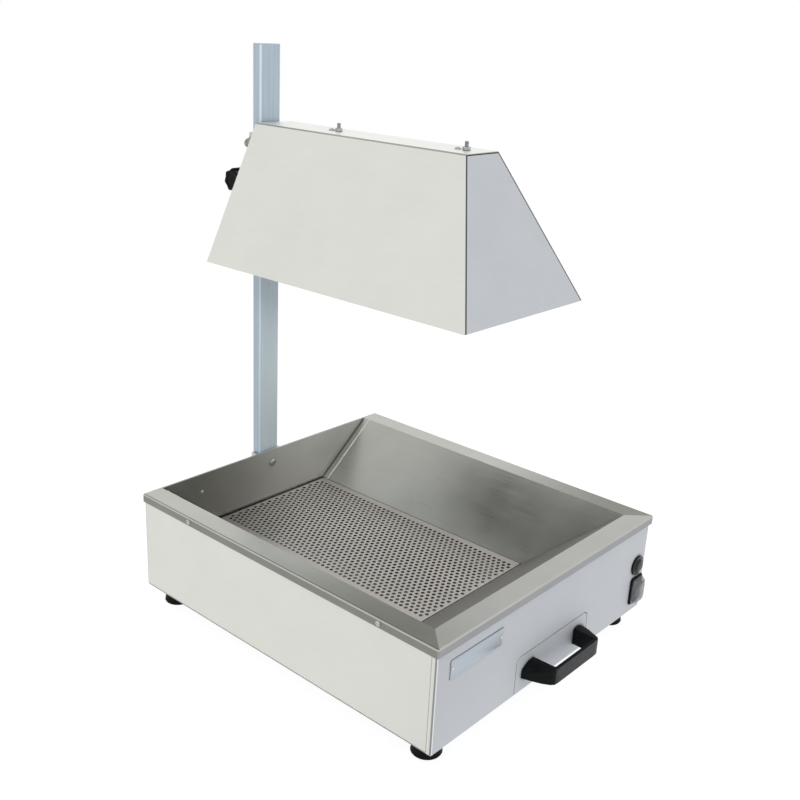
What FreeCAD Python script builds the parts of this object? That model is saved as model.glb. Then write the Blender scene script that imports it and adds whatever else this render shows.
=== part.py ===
import FreeCAD, Part
import math
import os

from FreeCAD import Placement, Rotation, Vector

os.makedirs("parts", exist_ok=True)

# Sheet metal and fits
sheet = 1.2
bend = 1.0
seat_gap = 0.1
fit_clearance = 0.05
hole_clearance = 0.25
slide_clearance = 0.3
overrun = 5.0
facets = 16

# Casing, measured over its rim
casing_width = 445.0
casing_depth = 500.0
casing_height = 135.0
foot_height = 22.0
skirt_height = 11.0
skirt_gap = 0.5
rim_corner = 3.0
rim_edge = 2.0
flange = 12.0
corner_bend = 1.8
corner_return = 7.0
seam_gap = 0.4
seam_tongue = 8.0

# Basin
rim_land = 28.5
plate_height = 60.0
well_width = 208.0
well_front = 121.0
well_drop = 7.5
crumb_opening_width = 124.0
crumb_opening_front = 150.0
crumb_opening_rear = 30.0
crumb_lip = 2.5

# Perforated plate
plate_clearance = 1.0
plate_bolt_clearance = 1.0
plate_corner = 2.0
perforation_pitch = 34.0
perforation_radius = 11.5
perforation_margin = 8.0

# Drawer
drawer_shift = 6.0
drawer_front_width = 150.0
drawer_front_height = 48.5
drawer_front_drop = 1.5
drawer_corner = 8.0
drawer_gap = 0.8
drawer_return = 8.0
tray_sheet = 1.0
tray_width = 140.0
tray_rear_gap = 25.9
tray_height = 43.5
tray_hem = 6.0
runner_height = 20.0
runner_shelf = 10.0
runner_clearance = 0.5
running_gap = 0.2

# Drawer handle
handle_reach = 34.0
handle_foot_outer = 67.0
handle_foot_inner = 43.0
handle_bar_half = 46.0
handle_shoulder = 14.0
handle_bar_depth = 10.0
handle_height = 22.0
handle_above_bottom = 26.5
handle_top_cut_width = 12.0
handle_top_cut = 7.0
handle_low_cut_width = 7.0
handle_low_cut = 4.0
handle_edge = 1.2
handle_screw_depth = 12.0

# Rubber feet
foot_inset = 28.0
foot_bottom_radius = 18.0
foot_top_radius = 15.0
foot_recess_radius = 7.0
foot_recess = 9.0

# Small screws, rivets and nuts
screw_radius = 2.0
screw_head_radius = 3.8
screw_head_height = 2.4
screw_length = 8.0
foot_screw_radius = 2.5
foot_screw_head_radius = 5.0
nut_across = 8.0
nut_height = 4.0
rivet_radius = 2.0
rivet_head_radius = 3.6
rivet_head_height = 1.4
rivet_tail = 4.0
rivet_below_rim = 6.0
rivet_front = 83.0
rivet_rear_inset = 94.0
panel_screw_inset = 6.0
panel_screw_low = 20.0
panel_screw_top_drop = 27.0

# Vents
vent_length = 34.0
vent_width = 4.0
vent_pitch = 12.0
vent_count = 5
rear_vent_inset = 69.6
rear_vent_z = 84.0
base_vent_inset = 69.6
base_inset = 1.0

# Switch with its splash cover
switch_inset = 17.6
switch_z = 32.5
bezel_width = 28.0
bezel_height = 39.0
bezel_depth = 2.5
bezel_corner = 4.0
switch_body_width = 21.5
switch_body_height = 30.0
switch_body_depth = 24.0
switch_pocket_depth = 14.0
switch_pocket_height = 27.4
rocker_width = 15.0
rocker_height = 24.0
rocker_proud = 3.0
rocker_dish = 1.6
rocker_back = 7.0
rocker_tilt = 10.0
pivot_radius = 1.5
pivot_length = 2.0
pivot_behind = 2.0
boot_wall = 1.0
boot_margin = 2.0
boot_draft = 1.5
boot_proud = 11.0
boot_corner = 4.0

# Thermostat and its knob
thermostat_inset = 21.1
thermostat_z = 69.5
thermostat_width = 36.0
thermostat_height = 30.0
thermostat_depth = 28.0
bushing_radius = 4.5
bushing_proud = 5.0
thermostat_nut_across = 13.0
thermostat_nut_height = 2.0
spindle_radius = 3.0
spindle_behind = 10.0
spindle_reach = 11.0
knob_radius = 13.5
knob_front_radius = 12.0
knob_depth = 15.0
knob_wall = 2.5
knob_panel_gap = 1.0
knob_edge = 1.0
knob_cap_radius = 9.0
knob_cap_depth = 2.0
knob_cap_proud = 0.8

# Heating element under the basin floor
element_radius = 3.25
element_x = 88.0
element_front = 160.0
element_rear_inset = 14.0
element_bend = 14.0
element_gap = 0.3
terminal_radius = 1.6
terminal_length = 14.0
clip_sheet = 0.8
clip_width = 12.0
clip_foot = 8.0
clip_count = 2

# Terminal block and cable gland
block_inset = 69.6
block_rear_inset = 80.0
block_width = 38.0
block_depth = 20.0
block_height = 18.0
block_base = 4.0
block_poles = 3
block_pole_width = 9.0
gland_inset = 69.6
gland_z = 30.0
gland_bore = 4.0
gland_thread_radius = 8.0
gland_across = 22.0
gland_hex_height = 5.0
gland_dome_height = 9.0
gland_dome_radius = 8.0
gland_tail = 8.0
gland_nut_height = 4.0

# Post and its bracket
post_width = 35.0
post_depth = 16.0
post_wall = 1.5
post_corner = 3.0
post_bottom = 12.0
post_height = 682.0
cap_thickness = 1.5
cap_plug = 8.0
collar_wall = 5.0
bracket_top_drop = 4.0
bracket_flange = 12.0
bolt_radius = 3.0
bolt_head_across = 10.0
bolt_head_height = 3.0
upper_bolt_drop = 20.0
lower_bolt_z = 30.0
washer_radius = 6.0
washer_height = 1.2
cap_nut_across = 10.0
cap_nut_hex = 5.0
cap_nut_height = 8.5
cap_nut_dome = 4.4

# Hood
hood_bottom_z = 428.0
hood_height = 170.0
hood_bottom_width = 225.6
hood_top_width = 60.0
hood_bottom_depth = 421.5
hood_top_depth = 342.5
hood_fold = 1.6
hood_return = 12.0
hood_seam = 0.3
rear_plate = 2.0

# Collar that carries the hood on the post
collar_above_hood = 69.0
collar_height = 86.0
ear_width = 68.0
collar_screw_x = 28.0
collar_screw_low = 12.0
collar_screw_high = 52.0
knob_axis_above_collar = 28.0
dome_axis_above_collar = 74.0
knob_axis_behind_middle = 2.5
boss_radius = 8.0
boss_height = 6.0
dome_stud_radius = 4.0
dome_across = 14.0
dome_hex = 5.0
dome_radius = 6.6
dome_height = 12.0

# Clamp knob
clamp_stud_radius = 4.0
clamp_radius = 15.5
clamp_valley = 12.5
clamp_lobes = 7
clamp_lobe_sides = 6
clamp_depth = 22.0
clamp_hub_radius = 8.5
clamp_hub_depth = 6.0
clamp_boss_gap = 1.0
clamp_crown = 1.5
clamp_socket = 14.0
clamp_end_gap = 0.3

# Lamp, its reflector and its guard
reflector_behind_top = 2.5
reflector_sheet = 0.8
reflector_length = 240.0
reflector_below_top = 40.0
reflector_top_width = 40.0
reflector_mouth_width = 112.0
reflector_drop = 48.0
reflector_lip = 6.0
hanger_sheet = 1.5
hanger_width = 16.0
hanger_reach = 22.0
hanger_tail = 8.0
stud_inset = 20.0
stud_radius = 2.5
stud_proud = 10.0
hanger_screw_offset = 12.0
holder_width = 20.0
holder_depth = 12.0
holder_inset = 2.0
lamp_drop = 27.0
lamp_radius = 5.5
lamp_neck_radius = 4.0
lamp_neck = 18.0
guard_wire = 1.5
guard_gap = 0.3
guard_cross_wire = 1.2
guard_wires = 7

# Planes that several pieces share
hex_sides = 6
hex_flat_share = math.cos(math.pi / hex_sides)
hex_across_share = 2 * hex_flat_share
casing_bottom = foot_height
rim_top = casing_bottom + casing_height
panel_top = rim_top - sheet
hem = 2 * sheet
panel_inset = hem + skirt_gap
panel_half = casing_width / 2 - panel_inset
post_gap = collar_wall + slide_clearance
rear_reach = post_gap + post_depth + washer_height + cap_nut_height
handle_out = handle_reach - panel_inset
front_y = -(casing_depth + rear_reach - handle_out) / 2
rear_y = front_y + casing_depth
panel_y = front_y + panel_inset
rear_panel_y = rear_y - sheet
rear_wall_y = rear_panel_y - seat_gap - sheet
base_top = casing_bottom + sheet
slope_drop = casing_height - plate_height
slope_bottom = rim_top - slope_drop
well_top = slope_bottom
well_floor = slope_bottom - well_drop
basin_under = well_floor - sheet
post_y = rear_y + post_gap
post_middle_y = post_y + post_depth / 2
hood_z = casing_bottom + hood_bottom_z
hood_top = hood_z + hood_height
collar_z = hood_z + collar_above_hood
tray_bottom = base_top + sheet + running_gap
reflector_top = hood_top - reflector_below_top
lamp_z = reflector_top - lamp_drop
lamp_y = rear_y - hood_top_depth + reflector_behind_top + reflector_length / 2
stud_spacing = reflector_length - stud_inset - stud_inset
tray_front = panel_y + sheet
tray_depth = rear_y - tray_rear_gap - tray_front
handle_z = casing_bottom + handle_above_bottom
switch_middle = casing_bottom + switch_z
pivot_y = panel_y + pivot_behind
thermostat_middle = casing_bottom + thermostat_z
plate_width = well_width - plate_clearance - plate_clearance
plate_rear = rear_wall_y - bolt_head_height - plate_bolt_clearance
plate_depth = plate_rear - front_y - well_front - plate_clearance
plate_middle = plate_rear - plate_depth / 2
plate_top = well_floor + well_drop
element_half = element_radius * hex_flat_share
element_z = basin_under - element_gap - element_half
gland_height = casing_bottom + gland_z
upper_bolt_height = rim_top - upper_bolt_drop
lower_bolt_height = casing_bottom + lower_bolt_z
post_base = casing_bottom + post_bottom
bracket_height = rim_top - bracket_top_drop - post_base
collar_half = post_width / 2 + slide_clearance + collar_wall
knob_axis_z = collar_z + knob_axis_above_collar
knob_axis_y = post_middle_y + knob_axis_behind_middle
dome_axis_z = collar_z + dome_axis_above_collar
clamp_knob_x = -collar_half - boss_height - clamp_boss_gap
switch_x = panel_half - switch_inset
thermostat_x = panel_half - thermostat_inset
block_x = block_inset - panel_half
block_y = rear_y - block_rear_inset
gland_x = gland_inset - panel_half
full_turn = 360
quarter_turn = full_turn / 4
coincident = 0.00001

x_axis = Vector(1, 0, 0)
y_axis = Vector(0, 1, 0)
z_axis = Vector(0, 0, 1)


def save(name, shape):
    """Write one node: a solid, or a group of separate solids."""
    for solid in shape.Solids:
        if solid.Volume < 0 or not solid.isValid():
            print("check", name, solid.Volume, solid.isValid())
    shape.exportStep("parts/" + name + ".step")


def block(x0, x1, y0, y1, z0, z1):
    return Part.makeBox(x1 - x0, y1 - y0, z1 - z0, Vector(x0, y0, z0))


def on_plane(plane, u, v, level):
    """A point of a drawing plane: xy from above, xz from the front, yz from the side."""
    if plane == "xy":
        return Vector(u, v, level)
    if plane == "xz":
        return Vector(u, level, v)
    return Vector(level, u, v)


def rounded_wire(plane, level, corners):
    """A closed outline whose corners (u, v, radius) are rounded by true arcs."""
    starts = []
    middles = []
    ends = []
    for i, (u, v, radius) in enumerate(corners):
        before = corners[i - 1]
        after = corners[(i + 1) % len(corners)]
        back = FreeCAD.Vector(before[0] - u, before[1] - v, 0).normalize()
        ahead = FreeCAD.Vector(after[0] - u, after[1] - v, 0).normalize()
        half_angle = back.getAngle(ahead) / 2
        setback = radius / math.tan(half_angle)
        depth = radius / math.sin(half_angle) - radius
        inward = back + ahead
        if radius > 0:
            inward.normalize()
        starts.append(on_plane(plane, u + back.x * setback, v + back.y * setback, level))
        ends.append(on_plane(plane, u + ahead.x * setback, v + ahead.y * setback, level))
        middles.append(on_plane(plane, u + inward.x * depth, v + inward.y * depth, level))
    edges = []
    for i, corner in enumerate(corners):
        if corner[2] > 0:
            edges.append(Part.Arc(starts[i], middles[i], ends[i]).toShape())
        following = starts[(i + 1) % len(corners)]
        if ends[i].distanceToPoint(following) > coincident:
            edges.append(Part.LineSegment(ends[i], following).toShape())
    return Part.Wire(edges)


def prism(plane, level, run, corners):
    """A rounded outline run along the axis that its drawing plane lacks."""
    direction = {"xy": z_axis, "xz": y_axis, "yz": x_axis}[plane]
    return Part.Face(rounded_wire(plane, level, corners)).extrude(direction * run)


def rectangle(u_middle, v_middle, width, height, radius):
    """Corners of a rounded rectangle about its middle."""
    half_u = width / 2
    half_v = height / 2
    signs = [(-1, -1), (1, -1), (1, 1), (-1, 1)]
    return [(u_middle + a * half_u, v_middle + b * half_v, radius) for a, b in signs]


def folded(plane, level, run, points, thickness, inner_radius):
    """A folded sheet: a line along one face, thickened to its left with rounded bends."""
    near = []
    far = []
    for i, (u, v) in enumerate(points):
        steps = []
        if i > 0:
            steps.append(FreeCAD.Vector(u - points[i - 1][0], v - points[i - 1][1], 0).normalize())
        if i < len(points) - 1:
            steps.append(FreeCAD.Vector(points[i + 1][0] - u, points[i + 1][1] - v, 0).normalize())
        normals = [FreeCAD.Vector(-step.y, step.x, 0) for step in steps]
        first, last = normals[0], normals[-1]
        shift = (first + last) * (thickness / (1 + first.dot(last)))
        turn = first.cross(last).z
        near_radius = 0
        far_radius = 0
        if turn > 0 and inner_radius > 0:
            near_radius = inner_radius + thickness
            far_radius = inner_radius
        elif turn < 0 and inner_radius > 0:
            near_radius = inner_radius
            far_radius = inner_radius + thickness
        near.append((u, v, near_radius))
        far.append((u + shift.x, v + shift.y, far_radius))
    return prism(plane, level, run, near + far[::-1])


def four_corners(half, front, rear, z):
    return [Vector(-half, front, z), Vector(half, front, z), Vector(half, rear, z), Vector(-half, rear, z)]


def tapered_block(low, high):
    """A solid with flat faces between a lower and an upper four-cornered outline."""
    count = len(low)
    rings = [low[::-1], high]
    for i in range(count):
        following = (i + 1) % count
        rings.append([low[i], low[following], high[following], high[i]])
    faces = [Part.Face(Part.makePolygon(ring + ring[:1])) for ring in rings]
    return Part.makeSolid(Part.makeShell(faces))


def placed(shape, base, axis):
    """Stand a shape that was made up the Z axis on a base point along another axis."""
    shape.Placement = Placement(base, Rotation(z_axis, axis))
    return shape


def turned(base, axis, profile):
    """A turned piece from its half profile (radius, distance along the axis, corner radius)."""
    solid = Part.Face(rounded_wire("xz", 0, profile)).revolve(Vector(), z_axis, full_turn)
    if solid.Volume < 0:
        solid.reverse()
    return placed(solid, base, axis)


def rod(base, axis, radius, length):
    return Part.makeCylinder(radius, length, base, axis)


def hexagon(corner_radius):
    turns = [math.tau * i / hex_sides for i in range(hex_sides)]
    return [(corner_radius * math.cos(a), corner_radius * math.sin(a), 0) for a in turns]


def hex_rod(base, axis, corner_radius, length):
    """A six-sided bar, also used for the small screws' shanks and their holes."""
    return placed(prism("xy", 0, length, hexagon(corner_radius)), base, axis)


def faceted_cone(base, axis, low_radius, high_radius, length):
    """A cone or a drum with flat facets."""
    turns = [math.tau * i / facets for i in range(facets)]
    low = [Vector(low_radius * math.cos(a), low_radius * math.sin(a), 0) for a in turns]
    high = [Vector(high_radius * math.cos(a), high_radius * math.sin(a), length) for a in turns]
    return placed(tapered_block(low, high), base, axis)


def around(radius):
    """Corner radius of a six-sided hole that clears a round bar."""
    return (radius + fit_clearance) / hex_flat_share


def nut(base, axis, across, height, bore_radius):
    """A nut by its width across flats."""
    body = hex_rod(base, axis, across / hex_across_share, height)
    return body.cut(hex_rod(base, axis, bore_radius, height))


def hex_screw(seat, axis, radius, head_radius, head_height, length):
    """A small screw whose six-sided head sits on a seat and points along the axis."""
    head = hex_rod(seat, axis, head_radius, head_height)
    return joined(head, hex_rod(seat - axis * length, axis, radius, length))


def joined(first, *others):
    return first.fuse(list(others)).removeSplitter()


def group(solids):
    return Part.makeCompound(solids)


def mirrored(shape, x_middle=0):
    return shape.mirror(Vector(x_middle, 0, 0), x_axis)


def both_sides(shape, x_middle=0):
    return group([shape, mirrored(shape, x_middle)])


# Casing and basin
def basin_block(z0, z1, skin):
    """The basin's funnel between two heights, grown outwards by a skin."""
    top_half = casing_width / 2 - rim_land
    low_half = well_width / 2
    side_run = top_half - low_half
    front_run = well_front - rim_land
    side_skin = skin * math.hypot(side_run, slope_drop) / slope_drop
    front_skin = skin * math.hypot(front_run, slope_drop) / slope_drop
    outlines = []
    for z in (z0, z1):
        share = (z - slope_bottom) / slope_drop
        half = low_half + side_run * share + side_skin
        front = front_y + well_front - front_run * share - front_skin
        rear = rear_wall_y + skin
        outlines.append(four_corners(half, front, rear, z))
    return tapered_block(outlines[0], outlines[1])


def rim_slab():
    """The flat rim with its hemmed skirt on three sides."""
    half = casing_width / 2
    outline = [(-half, front_y, rim_corner), (half, front_y, rim_corner),
               (half, rear_y, 0), (-half, rear_y, 0)]
    slab = prism("xy", rim_top - skirt_height, skirt_height, outline)
    edges = []
    for edge in slab.Edges:
        box = edge.BoundBox
        if box.ZMin > panel_top and box.YMin < rear_y - overrun:
            edges.append(edge)
    slab = slab.makeFillet(rim_edge, edges)
    inner_half = half - hem
    inner_corner = rim_corner - hem
    inside = [(-inner_half, front_y + hem, inner_corner), (inner_half, front_y + hem, inner_corner),
              (inner_half, rear_y + overrun, 0), (-inner_half, rear_y + overrun, 0)]
    return slab.cut(prism("xy", rim_top - skirt_height - overrun, skirt_height + overrun - sheet, inside))


def rivet_places():
    return [(y, rim_top - rivet_below_rim) for y in (front_y + rivet_front, rear_y - rivet_rear_inset)]


def make_basin():
    well_half = well_width / 2
    well_y = front_y + well_front
    opening_half = crumb_opening_width / 2
    opening_y = front_y + crumb_opening_front
    opening_end = rear_y - crumb_opening_rear
    shell = joined(
        rim_slab(),
        basin_block(slope_bottom, rim_top, sheet),
        block(-well_half - sheet, well_half + sheet, well_y - sheet, rear_wall_y + sheet,
              basin_under, slope_bottom),
        block(-opening_half - sheet, opening_half + sheet, opening_y - sheet, opening_end + sheet,
              basin_under - crumb_lip, well_floor))
    shell = shell.cut([
        basin_block(slope_bottom, rim_top + overrun, 0),
        block(-well_half, well_half, well_y, rear_wall_y, well_floor, slope_bottom + sheet),
        block(-opening_half, opening_half, opening_y, opening_end, basin_under - overrun, well_top),
        hex_rod(Vector(0, rear_wall_y - sheet, upper_bolt_height), y_axis, bolt_radius + hole_clearance,
                hem + sheet)])
    left = group([hex_rod(Vector(-casing_width / 2 - overrun, y, z), x_axis, rivet_radius + fit_clearance,
                          overrun + flange) for y, z in rivet_places()])
    return shell.cut([left, mirrored(left)])


def make_left_side_panel():
    """A channel that opens inwards, with a rear flange and a tongue behind the front panel."""
    face = -panel_half
    start = panel_y + corner_return + seam_gap
    channel = folded("xz", start, rear_panel_y - start,
                     [(face + flange, panel_top), (face, panel_top),
                      (face, base_top), (face + flange, base_top)],
                     sheet, bend)
    rear_flange = folded("xy", base_top + sheet, panel_top - base_top - hem,
                         [(face + flange, rear_panel_y), (face, rear_panel_y), (face, rear_panel_y - flange)],
                         sheet, 0)
    tongue = block(face + sheet, face + hem, start - seam_tongue / 2, start + seam_tongue / 2,
                   base_top + flange, panel_top - flange)
    panel = joined(channel, rear_flange, tongue)
    holes = [hex_rod(Vector(face - overrun, y, z), x_axis, rivet_radius + fit_clearance, flange)
             for y, z in rivet_places()]
    for x, z in rear_screw_places():
        holes.append(hex_rod(Vector(x, rear_panel_y - flange, z), y_axis, screw_radius + fit_clearance, flange))
    for x, y in base_screw_places():
        holes.append(hex_rod(Vector(x, y, casing_bottom), z_axis, screw_radius + fit_clearance, flange))
    return panel.cut(holes)


def rear_screw_places():
    x = panel_half - panel_screw_inset
    heights = (casing_bottom + panel_screw_low, rim_top - panel_screw_top_drop)
    return [(side * x, z) for side in (-1, 1) for z in heights]


def base_screw_places():
    x = panel_half - panel_screw_inset
    places = (front_y + rivet_front, rear_y - rivet_rear_inset)
    return [(side * x, y) for side in (-1, 1) for y in places]


def make_front_panel():
    """A sheet that wraps both corners, open for the drawer, the switch and the thermostat."""
    wrap = folded("xy", base_top, panel_top - base_top,
                  [(-panel_half, panel_y + corner_return), (-panel_half, panel_y),
                   (panel_half, panel_y), (panel_half, panel_y + corner_return)],
                  sheet, corner_bend)
    fold_half = panel_half - flange - seam_gap
    folds = folded("yz", -fold_half, fold_half + fold_half,
                   [(panel_y + flange, panel_top), (panel_y, panel_top),
                    (panel_y, base_top), (panel_y + flange, base_top)],
                   sheet, bend)
    notch_width = drawer_front_width + drawer_gap + drawer_gap
    notch_top = casing_bottom + drawer_front_drop + drawer_front_height + drawer_gap
    notch_middle = notch_top - drawer_front_height
    notch = prism("xz", panel_y - overrun, flange + overrun + overrun,
                  rectangle(drawer_shift, notch_middle, notch_width, drawer_front_height + drawer_front_height,
                            drawer_corner + drawer_gap))
    switch_hole = prism("xz", panel_y - overrun, overrun + overrun,
                        rectangle(switch_x, switch_middle, switch_body_width + hole_clearance,
                                  switch_body_height + hole_clearance, 0))
    bushing_hole = hex_rod(Vector(thermostat_x, panel_y - overrun, thermostat_middle), y_axis,
                           bushing_radius + hole_clearance, overrun + overrun)
    return joined(wrap, folds).cut([notch, switch_hole, bushing_hole])


def vents(plane, level, u_middle, v_middle):
    """A row of long slots through a sheet, side by side along u."""
    slots = []
    for i in range(vent_count):
        shift = (i - (vent_count - 1) / 2) * vent_pitch
        outline = rectangle(u_middle + shift, v_middle, vent_width, vent_length, 0)
        slots.append(prism(plane, level, flange, outline))
    return slots


def make_rear_panel():
    fold_half = panel_half - flange - seam_gap
    sheet_face = block(-panel_half, panel_half, rear_panel_y, rear_y, base_top, panel_top)
    fold = folded("yz", -fold_half, fold_half + fold_half,
                  [(rear_y - flange, base_top), (rear_y, base_top), (rear_y, base_top + flange)],
                  sheet, bend)
    start = rear_panel_y - sheet
    holes = [hex_rod(Vector(x, start, z), y_axis, screw_radius + fit_clearance, flange)
             for x, z in rear_screw_places()]
    for z in (upper_bolt_height, lower_bolt_height):
        holes.append(hex_rod(Vector(0, start, z), y_axis, bolt_radius + hole_clearance, flange))
    gland_clear = gland_thread_radius + hole_clearance
    holes.append(hex_rod(Vector(gland_x, start, gland_height), y_axis, gland_clear, flange))
    for side in (-1, 1):
        holes += vents("xz", start, side * (panel_half - rear_vent_inset), casing_bottom + rear_vent_z)
    return joined(sheet_face, fold).cut(holes)


def make_base_plate():
    half = panel_half - base_inset
    depth = casing_depth - panel_inset - base_inset - base_inset
    middle = panel_y + base_inset + depth / 2
    plate = prism("xy", casing_bottom, sheet, rectangle(0, middle, half + half, depth, 0))
    start = casing_bottom - sheet
    holes = [hex_rod(Vector(x, y, start), z_axis, screw_radius + fit_clearance, flange)
             for x, y in base_screw_places()]
    holes += [hex_rod(Vector(x, y, start), z_axis, foot_screw_radius + fit_clearance, flange)
              for x, y in foot_places()]
    for side in (-1, 1):
        holes += vents("xy", start, side * (panel_half - base_vent_inset), middle)
    return plate.cut(holes)


def foot_places():
    x = panel_half - foot_inset
    return [(side * x, y) for side in (-1, 1) for y in (panel_y + foot_inset, rear_y - foot_inset)]


def make_rubber_feet():
    feet = []
    for x, y in foot_places():
        base = Vector(x, y, 0)
        cone = faceted_cone(base, z_axis, foot_bottom_radius, foot_top_radius, foot_height)
        recess = hex_rod(base, z_axis, foot_recess_radius, foot_recess)
        hole = hex_rod(base, z_axis, foot_screw_radius + hole_clearance, foot_height)
        feet.append(cone.cut([recess, hole]))
    return group(feet)


def make_foot_screws():
    length = foot_height - foot_recess + sheet + nut_height + sheet
    return group([hex_screw(Vector(x, y, foot_recess), -z_axis, foot_screw_radius, foot_screw_head_radius,
                            screw_head_height, length) for x, y in foot_places()])


def make_foot_nuts():
    bore = foot_screw_radius + fit_clearance
    return group([nut(Vector(x, y, base_top), z_axis, nut_across, nut_height, bore)
                  for x, y in foot_places()])


def make_rim_rivets():
    rivets = [hex_screw(Vector(-casing_width / 2, y, z), -x_axis, rivet_radius, rivet_head_radius,
                        rivet_head_height, rivet_tail + hem) for y, z in rivet_places()]
    return both_sides(group(rivets))


def make_panel_screws():
    screws = [hex_screw(Vector(x, rear_y, z), y_axis, screw_radius, screw_head_radius,
                        screw_head_height, screw_length) for x, z in rear_screw_places()]
    screws += [hex_screw(Vector(x, y, casing_bottom), -z_axis, screw_radius, screw_head_radius,
                         screw_head_height, screw_length) for x, y in base_screw_places()]
    return group(screws)


# Perforated plate
def perforation_places():
    """Holes on a triangular pitch, whole columns only, inside the plate's margin."""
    column_pitch = perforation_pitch * hex_flat_share
    reach_x = plate_width / 2 - perforation_margin - perforation_radius
    reach_y = plate_depth / 2 - perforation_margin - perforation_radius
    columns = int(reach_x / column_pitch)
    places = []
    for column in range(-columns, columns + 1):
        rows = int(reach_y / perforation_pitch)
        shift = perforation_pitch / 2 * (column % 2)
        for row in range(-rows, rows + 1):
            y = row * perforation_pitch + shift
            if abs(y) <= reach_y:
                places.append((column * column_pitch, plate_middle + y))
    return places


def make_perforated_plate():
    outline = rounded_wire("xy", plate_top - sheet,
                           rectangle(0, plate_middle, plate_width, plate_depth, plate_corner))
    holes = []
    for x, y in perforation_places():
        corners = [(x + u, y + v, 0) for u, v, radius in hexagon(perforation_radius)]
        holes.append(rounded_wire("xy", plate_top - sheet, corners))
    face = Part.makeFace([outline] + holes, "Part::FaceMakerBullseye")
    top = face.extrude(z_axis * sheet)
    wall = prism("xy", well_floor, well_drop - sheet,
                 rectangle(0, plate_middle, plate_width, plate_depth, plate_corner))
    inside = prism("xy", well_floor - overrun, well_drop + overrun,
                   rectangle(0, plate_middle, plate_width - hem, plate_depth - hem, plate_corner - sheet))
    return joined(top, wall.cut(inside))


# Drawer
def make_drawer_runners():
    web = drawer_shift - tray_width / 2 - runner_clearance - sheet
    start = panel_y + drawer_return + hem
    length = tray_depth - drawer_return
    runner = folded("xz", start, length,
                    [(web, base_top + runner_height), (web, base_top), (web + hem + runner_shelf, base_top)],
                    sheet, bend)
    return both_sides(runner, drawer_shift)


def tray_cavity(inset, z0, z1):
    middle = tray_front + tray_depth / 2
    outline = rectangle(drawer_shift, middle, tray_width - inset - inset, tray_depth - inset - inset, 0)
    return prism("xy", z0, z1 - z0, outline)


def make_tray_walls():
    """The drawer's four walls, with a hem folded inwards round their top edge."""
    top = tray_bottom + tray_height
    body = tray_cavity(0, tray_bottom, top)
    low = tray_cavity(tray_sheet, tray_bottom - overrun, top - tray_hem)
    high = tray_cavity(tray_sheet + tray_sheet, top - tray_hem - tray_sheet, top + overrun)
    holes = [hex_rod(Vector(x, tray_front - overrun, handle_z), y_axis, screw_radius + fit_clearance, flange)
             for x in handle_screw_places()]
    return body.cut([low, high]).cut(holes)


def between_tray_ends():
    """The room between the end walls and their hems."""
    lap = tray_sheet + tray_sheet
    outline = rectangle(drawer_shift, tray_front + tray_depth / 2, tray_width + overrun, tray_depth - lap - lap, 0)
    return prism("xy", tray_bottom - overrun, tray_height + overrun + overrun, outline)


def make_drip_tray():
    """The drawer's two side walls."""
    return make_tray_walls().common(between_tray_ends())


def make_tray_ends():
    """The drawer's front and rear walls, which lap the ends of its side walls."""
    return make_tray_walls().cut(between_tray_ends())


def make_tray_floor():
    """A flat floor welded in between the walls."""
    return tray_cavity(tray_sheet, tray_bottom, tray_bottom + tray_sheet)


def handle_screw_places():
    reach = (handle_foot_inner + handle_foot_outer) / 2
    return [drawer_shift - reach, drawer_shift + reach]


def drawer_front_outline(inset):
    """The front's outline: square at the bottom, round at the top, drawn in by an inset."""
    half = drawer_front_width / 2 - inset
    low = casing_bottom + drawer_front_drop
    top = low + drawer_front_height - inset
    corner = drawer_corner - inset
    return [(drawer_shift - half, low, 0), (drawer_shift + half, low, 0),
            (drawer_shift + half, top, corner), (drawer_shift - half, top, corner)]


def make_drawer_front():
    front = prism("xz", panel_y, drawer_return, drawer_front_outline(0))
    inner = [(u, v - (overrun if radius == 0 else 0), radius) for u, v, radius in drawer_front_outline(sheet)]
    hollow = prism("xz", panel_y + sheet, drawer_return, inner)
    holes = [hex_rod(Vector(x, panel_y - overrun, handle_z), y_axis, screw_radius + fit_clearance, flange)
             for x in handle_screw_places()]
    return front.cut(hollow).cut(holes)


def make_drawer_handle():
    """A bridge handle: its plan and its front view, crossed, with softened bar edges."""
    front = panel_y - handle_reach
    shoulder = panel_y - handle_shoulder
    bar_back = front + handle_bar_depth
    plan_shares = [(handle_foot_inner, panel_y), (handle_foot_outer, panel_y), (handle_foot_outer, shoulder),
                   (handle_bar_half, front)]
    right = [(drawer_shift + x, y, 0) for x, y in plan_shares]
    left = [(drawer_shift - x, y, 0) for x, y in reversed(plan_shares)]
    inner = [(drawer_shift - handle_foot_inner, bar_back, handle_edge),
             (drawer_shift + handle_foot_inner, bar_back, handle_edge)]
    low = handle_z - handle_height / 2
    top = low + handle_height
    plan = prism("xy", low, handle_height, right + left + inner)
    ends = [(handle_foot_outer, top - handle_top_cut), (handle_foot_outer - handle_top_cut_width, top)]
    feet = [(handle_foot_outer - handle_low_cut_width, low), (handle_foot_outer, low + handle_low_cut)]
    outline = [(drawer_shift + x, z, 0) for x, z in feet + ends]
    outline += [(drawer_shift - x, z, 0) for x, z in reversed(feet + ends)]
    view = prism("xz", front - overrun, handle_reach + overrun + overrun, outline)
    body = plan.common(view)
    bar_edges = [edge for edge in body.Edges
                 if edge.BoundBox.YMax < front + coincident and edge.BoundBox.XLength > handle_bar_half]
    body = body.makeFillet(handle_edge, bar_edges)
    holes = [hex_rod(Vector(x, panel_y - handle_screw_depth, handle_z), y_axis, screw_radius + fit_clearance,
                 handle_screw_depth + overrun) for x in handle_screw_places()]
    return body.cut(holes)


def make_handle_screws():
    seat = tray_front + tray_sheet
    length = tray_sheet + sheet + handle_screw_depth - sheet
    return group([hex_screw(Vector(x, seat, handle_z), y_axis, screw_radius, screw_head_radius,
                            screw_head_height, length) for x in handle_screw_places()])


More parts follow.
